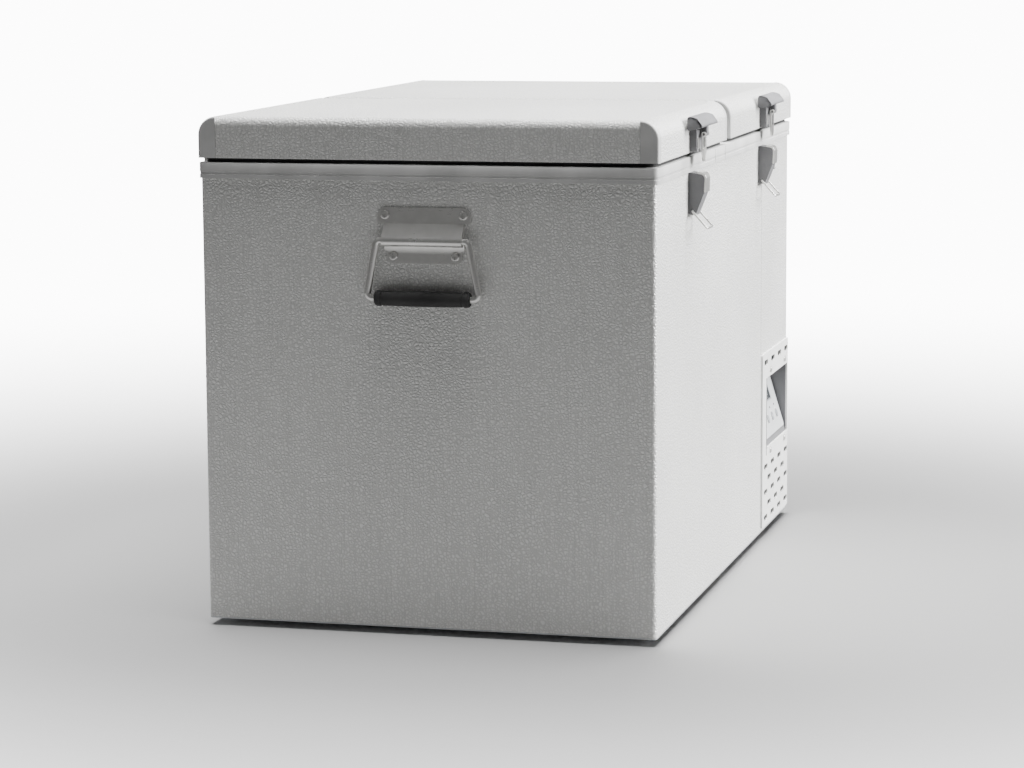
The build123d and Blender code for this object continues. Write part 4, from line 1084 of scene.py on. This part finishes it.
# --------------------------------------------------------------------------- controls and fan
@dataclass
class ControlDetails:
    """Small mouldings on the slanted face: key rings, lamps, window bezel and digits."""

    x0: float = 244.0
    x1: float = 391.0
    z0: float = 110.0
    z1: float = 198.0
    depth: float = 26.0
    front: float = -250.0
    key_row: float = -18.0
    keys: tuple[float, float, float, float] = (273.0, 302.0, 331.0, 360.0)
    face: float = 1.2
    lamp_up: float = 11.5
    digits: Point = (-16.0, 0.0, 16.0)
    digit_row: float = 17.0

    def _frame(self) -> Matrix:
        """Plane of the slanted face: x across, y up the slope, z outwards."""
        rise, run = self.z1 - self.z0, self.depth
        long = math.hypot(rise, run)
        up = Vector((0.0, run / long, rise / long))
        out = Vector((0.0, -rise / long, run / long))
        middle = Vector(((self.x0 + self.x1) / 2, self.front + self.depth / 2,
                         (self.z0 + self.z1) / 2)) * MM
        turn = Matrix((Vector((1, 0, 0)), up, out)).transposed().to_4x4()
        return Matrix.Translation(middle) @ turn

    def build(self, shop: Shop) -> None:
        """Make every detail."""
        self._rings(shop)
        self._bezel(shop)
        self._digits(shop)
        self._symbols(shop)

    def _rings(self, shop: Shop) -> None:
        """A low collar round each key and a small lamp above it."""
        mesh = bmesh.new()
        lamps = bmesh.new()
        place = self._frame()
        middle = (self.x0 + self.x1) / 2
        outline = ((0.0, 5.9), (0.0, 7.4), (0.35, 7.3), (0.55, 6.9), (0.55, 6.3), (0.3, 5.9),
                   (0.0, 5.9))
        dome = ((0.0, 1.5), (0.35, 1.3), (0.6, 0.8), (0.7, 0.0))
        for x in self.keys:
            spot = place @ Vector(((x - middle) * MM, self.key_row * MM, self.face * MM))
            out = place.to_3x3() @ Vector((0, 0, 1))
            lathe(mesh, outline, spot, out, 32)
            lathe(lamps, dome, spot + place.to_3x3() @ Vector((0, self.lamp_up * MM, 0)), out, 16)
        shop.piece("key_collars", mesh, "cabinet", Finish.LIGHT_PLASTIC)
        shop.piece("key_lamps", lamps, "cabinet", Finish.DISPLAY)

    def _plate(self, mesh: bmesh.types.BMesh, u0: float, u1: float, v0: float, v1: float,
               low: float, high: float, soft: float) -> None:
        """A small rounded block on the slanted face, placed in mm along its own axes."""
        part = bmesh.new()
        solid_box(part, (u0 * MM, v0 * MM, low * MM), (u1 * MM, v1 * MM, high * MM), soft * MM, 2)
        bmesh.ops.transform(part, verts=part.verts, matrix=self._frame())
        pour(part, mesh)

    def _bezel(self, shop: Shop) -> None:
        """A thin raised surround for the display window."""
        mesh = bmesh.new()
        low, high = self.face, self.face + 1.1
        for u0, u1, v0, v1 in ((-34.4, 34.4, 30.2, 32.2), (-34.4, 34.4, 1.8, 3.8),
                               (-34.4, -32.2, 2.6, 31.4), (32.2, 34.4, 2.6, 31.4)):
            self._plate(mesh, u0, u1, v0, v1, low, high, 0.4)
        shop.piece("display_surround", mesh, "cabinet", Finish.BUTTON)

    def _digits(self, shop: Shop) -> None:
        """Seven-bar digits, unlit, just proud of the window."""
        mesh = bmesh.new()
        low, high = self.face + 0.8, self.face + 0.88
        w, h, t = 4.2, 7.6, 0.7
        row = self.digit_row
        for centre in self.digits:
            bars = ((-w, w, h - t, h + t), (-w, w, -t, t), (-w, w, -h - t, -h + t),
                    (-w - 2 * t, -w - 0.2, 1.0, h - 0.6), (w + 0.2, w + 2 * t, 1.0, h - 0.6),
                    (-w - 2 * t, -w - 0.2, -h + 0.6, -1.0), (w + 0.2, w + 2 * t, -h + 0.6, -1.0))
            for u0, u1, v0, v1 in bars:
                self._plate(mesh, centre + u0, centre + u1, row + v0, row + v1, low, high, 0.02)
        shop.piece("display_segments", mesh, "cabinet", Finish.BUTTON)

    def _symbols(self, shop: Shop) -> None:
        """Plain plus and minus bars moulded on the middle two keys."""
        middle = (self.x0 + self.x1) / 2
        high = self.face + 1.4
        across, upright = (-2.2, 2.2, -0.4, 0.4), (-0.4, 0.4, -2.2, 2.2)
        for body, x, bars in (("down_button", self.keys[1], (across,)),
                              ("up_button", self.keys[2], (across, upright))):
            mesh = bmesh.new()
            for u0, u1, v0, v1 in bars:
                self._plate(mesh, x - middle + u0, x - middle + u1, self.key_row + v0,
                            self.key_row + v1, high - 0.1, high + 0.15, 0.05)
            shop.piece(f"{body}_mark", mesh, body, Finish.BADGE)


@dataclass
class FanRotor:
    """Seven swept blades on a domed hub."""

    x: float = 303.0
    z: float = 112.0
    near: float = -146.0
    far: float = -133.0
    hub_r: float = 18.0
    tip_r: float = 54.0
    bore_r: float = 2.1
    blades: int = 7
    stations: int = 6

    def build(self, shop: Shop) -> None:
        """Lathe the hub and loft the blades round it."""
        mesh = bmesh.new()
        long = self.far - self.near
        bore = self.bore_r
        hub = ((0.0, bore), (0.0, 13.0), (0.6, 15.6), (2.0, 17.4), (4.0, self.hub_r),
               (long, self.hub_r), (long, bore), (2.0, bore), (0.0, bore))
        lathe(mesh, hub, (self.x * MM, self.near * MM, self.z * MM), (0, 1, 0))
        middle = (self.near + self.far) / 2
        for i in range(self.blades):
            self._blade(mesh, 2 * math.pi * i / self.blades, middle)
        shop.piece("rotor", mesh, "fan", Finish.BLACK_PLASTIC, ("fan_rotor",))

    def _blade(self, mesh: bmesh.types.BMesh, turn: float, middle: float) -> None:
        """One blade: flat sections from hub to tip, bridged."""
        rings = []
        for k in range(self.stations + 1):
            part = k / self.stations
            r = self.hub_r - 1.0 + (self.tip_r - self.hub_r + 1.0) * part
            chord = 0.62 - 0.16 * part
            sweep = 0.30 * part ** 1.4
            pitch = 5.6 - 1.6 * part
            points = []
            for side, steps in ((-1, range(5)), (1, range(4, -1, -1))):
                for step in steps:
                    u = step / 4 - 0.5
                    angle = turn + sweep + chord * u
                    camber = 1.4 * (1 - 4 * u * u)
                    thick = 0.75 * (1 - 3.0 * u * u) * side
                    y = middle + pitch * 2 * u * 0.9 + camber - 0.8 + thick
                    points.append(((self.x + r * math.cos(angle)) * MM, y * MM,
                                   (self.z + r * math.sin(angle)) * MM))
            rings.append(closed_ring(mesh, points))
        bridge_all(mesh, rings)
        cap(mesh, rings[-1], rings[0])


# --------------------------------------------------------------------------- CAD nodes
@dataclass
class CadDresser:
    """Gives every carried-over CAD node its finish, and most of them soft edges.

    SOFT holds the edge widths, in mm, that differ from the usual one. PLAIN lists the nodes that
    stay hidden inside, or whose edges are too fine to round.
    """

    finishes: Finishes
    edge: float = 0.35
    weld: float = 0.01
    sharp: float = 28.0

    SOFT = {"lid_skin_left": 0.9, "lid_skin_right": 0.9, "lid_corners_left": 0.5,
            "lid_corners_right": 0.5, "control_housing": 0.3, "compressor": 1.5,
            "catch_bodies": 0.7, "latch_base_left": 0.5, "latch_base_right": 0.5,
            "handle_plates": 0.4}
    PLAIN = ("condenser_fins", "foam_body", "lid_foam_left", "lid_foam_right", "refrigerant_lines",
             "evaporators")

    def dress(self, node: str, finish: Finish) -> None:
        """Put a finish and rounded edges on one node.

        Args:
            node: Name of the CAD node.
            finish: Its finish.
        """
        target = frame["nodes"][node]
        self.finishes.coat(target, finish)
        if node in self.PLAIN:
            return
        weld = target.modifiers.new("merge", "WELD")
        weld.merge_threshold = self.weld * MM
        bevel = target.modifiers.new("soft_edges", "BEVEL")
        bevel.width = self.SOFT.get(node, self.edge) * MM
        bevel.segments = 2
        bevel.limit_method = "ANGLE"
        bevel.angle_limit = math.radians(self.sharp)
        even = target.modifiers.new("even_shading", "WEIGHTED_NORMAL")
        even.mode = "FACE_AREA"
        even.weight = 60

    def dress_all(self, slots: dict[str, str]) -> None:
        """Dress every node by its record slot.

        Args:
            slots: Material slot of each node.
        """
        for node, slot in slots.items():
            self.dress(node, Finish(slot))
            LOG.info("node %s in %s", node, slot)


# --------------------------------------------------------------------------- stage
@dataclass
class Studio:
    """Pale floor, soft lights and the camera."""

    eye: Point = (-3.6155, -0.9412, 0.7582)
    yaw: float = 14.749
    pitch: float = 8.236
    roll: float = -0.377
    lens: float = 111.9
    floor_half: float = 4.2
    floor_solid: float = 0.6
    floor_gone: float = 2.9
    backdrop: float = 12.0
    fill: float = 0.10
    skipped: bpy.types.Collection | None = None

    def camera(self) -> None:
        """Stand the camera and make it the scene's own."""
        data = bpy.data.cameras.new("view")
        data.lens = self.lens
        data.sensor_width = 36.0
        data.clip_end = 60.0
        made = bpy.data.objects.new("view", data)
        bpy.context.scene.collection.objects.link(made)
        y, p, t = (math.radians(a) for a in (self.yaw, self.pitch, self.roll))
        ahead = Vector((math.cos(p) * math.cos(y), math.cos(p) * math.sin(y), -math.sin(p)))
        right = ahead.cross(Vector((0, 0, 1))).normalized()
        up = right.cross(ahead)
        right, up = (right * math.cos(t) + up * math.sin(t), up * math.cos(t) - right * math.sin(t))
        basis = Matrix((right, up, -ahead)).transposed().to_4x4()
        made.matrix_world = Matrix.Translation(self.eye) @ basis
        bpy.context.scene.camera = made

    def floor(self) -> None:
        """Lay a wide pale floor."""
        mesh = bmesh.new()
        bmesh.ops.create_grid(mesh, x_segments=1, y_segments=1, size=self.floor_half)
        data = bpy.data.meshes.new("floor")
        mesh.to_mesh(data)
        mesh.free()
        made = bpy.data.objects.new("floor", data)
        bpy.context.scene.collection.objects.link(made)
        g = Graph("pale_floor")
        cloud = g.noise(0.6, 2.0)
        g.set(Base_Color=g.mix(cloud, (0.88, 0.88, 0.88), (0.92, 0.92, 0.92)), Roughness=0.9)
        x, y = g.axis("X"), g.axis("Y")
        away = (x * x + y * y).power(0.5).ramp(self.floor_solid, self.floor_gone)
        g.set(Alpha=1.0 - away)
        data.materials.append(g.material)
        self.skipped = bpy.data.collections.new("floor_unlit")
        self.skipped.objects.link(made)
        self.skipped.collection_objects[0].light_linking.link_state = "EXCLUDE"

    def lamp(self, name: str, spot: Point, aim: Point, size: tuple[float, float],
             power: float, spread: float = 180.0, off_floor: bool = False,
             glossy: bool = True) -> None:
        """Hang one soft rectangular lamp.

        Args:
            name: Name of the lamp.
            spot: Where it hangs.
            aim: What it points at.
            size: Width and height.
            power: Watts.
            spread: Angle of the beam in degrees.
            off_floor: Keep the lamp's light off the floor, so that it doesn't bounce.
            glossy: Let the lamp itself be seen in reflections.
        """
        data = bpy.data.lights.new(name, "AREA")
        data.spread = math.radians(spread)
        data.shape = "RECTANGLE"
        data.size, data.size_y = size
        data.energy = power
        made = bpy.data.objects.new(name, data)
        bpy.context.scene.collection.objects.link(made)
        heading = (Vector(aim) - Vector(spot)).normalized()
        turn = heading.to_track_quat("-Z", "Y").to_matrix().to_4x4()
        made.matrix_world = Matrix.Translation(spot) @ turn
        made.visible_glossy = glossy
        if off_floor:
            made.light_linking.receiver_collection = self.skipped

    def world(self) -> None:
        """Fill light all round, with a white backdrop behind the object."""
        world = bpy.data.worlds.new("studio")
        bpy.context.scene.world = world
        world.use_nodes = True
        tree = world.node_tree
        tree.nodes.clear()
        path = tree.nodes.new("ShaderNodeLightPath")
        choose = tree.nodes.new("ShaderNodeMixShader")
        out = tree.nodes.new("ShaderNodeOutputWorld")
        tree.links.new(path.outputs["Is Camera Ray"], choose.inputs[0])
        for slot, strength in ((1, self.fill), (2, self.backdrop)):
            sky = tree.nodes.new("ShaderNodeBackground")
            sky.inputs["Color"].default_value = (1.0, 1.0, 1.0, 1.0)
            sky.inputs["Strength"].default_value = strength
            tree.links.new(sky.outputs[0], choose.inputs[slot])
        tree.links.new(choose.outputs[0], out.inputs["Surface"])

    def light(self) -> None:
        """Hang the lamps."""
        self.lamp("front_key", (1.1, -3.3, 1.9), (0.15, 0.0, 0.3), (2.6, 2.2), 660.0,
                  off_floor=True)
        self.lamp("top_soft", (0.4, -0.4, 3.2), (0.1, 0.0, 0.5), (2.0, 2.0), 95.0, spread=70.0,
                  off_floor=True, glossy=False)
        self.lamp("floor_wash", (0.3, 0.0, 4.0), (0.3, 0.0, 0.0), (3.4, 3.4), 230.0, glossy=False)
        self.lamp("back_fill", (2.4, 3.6, 2.2), (0.1, 0.0, 0.3), (3.0, 2.0), 110.0,
                  off_floor=True)

    def build(self) -> None:
        """Set the whole stage."""
        self.camera()
        self.floor()
        self.world()
        self.light()


def node_slots(record: dict) -> dict[str, str]:
    """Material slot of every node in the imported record.

    Args:
        record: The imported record.

    Returns:
        Node name to slot name.
    """
    return {part["node"]: part["material_slot"] for part in record["subparts"]}


def main() -> None:
    """Build the looks in order."""
    logging.basicConfig(level=logging.INFO)
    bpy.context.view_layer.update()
    Studio().build()
    finishes = Finishes()
    shop = Shop(finishes)
    CadDresser(finishes).dress_all(node_slots(frame["record"]))
    for item in (RimBand(), JointStripAndPaintedShadows(), Liners(), Feet(),
                 LidPan("left", -401.5, -30.0, (-349.0, -59.0)),
                 LidPan("right", -5.0, 401.5, (24.0, 349.0)),
                 LidGasket("left", -401.5, -30.0), LidGasket("right", -5.0, 401.5),
                 Latch("left", -222.0), Latch("right", 200.0),
                 DropHandle("left", -1), DropHandle("right", 1), ControlDetails(), FanRotor()):
        item.build(shop)
    LOG.info("%d pieces made", shop.count)


if __name__ == "__main__":
    main()
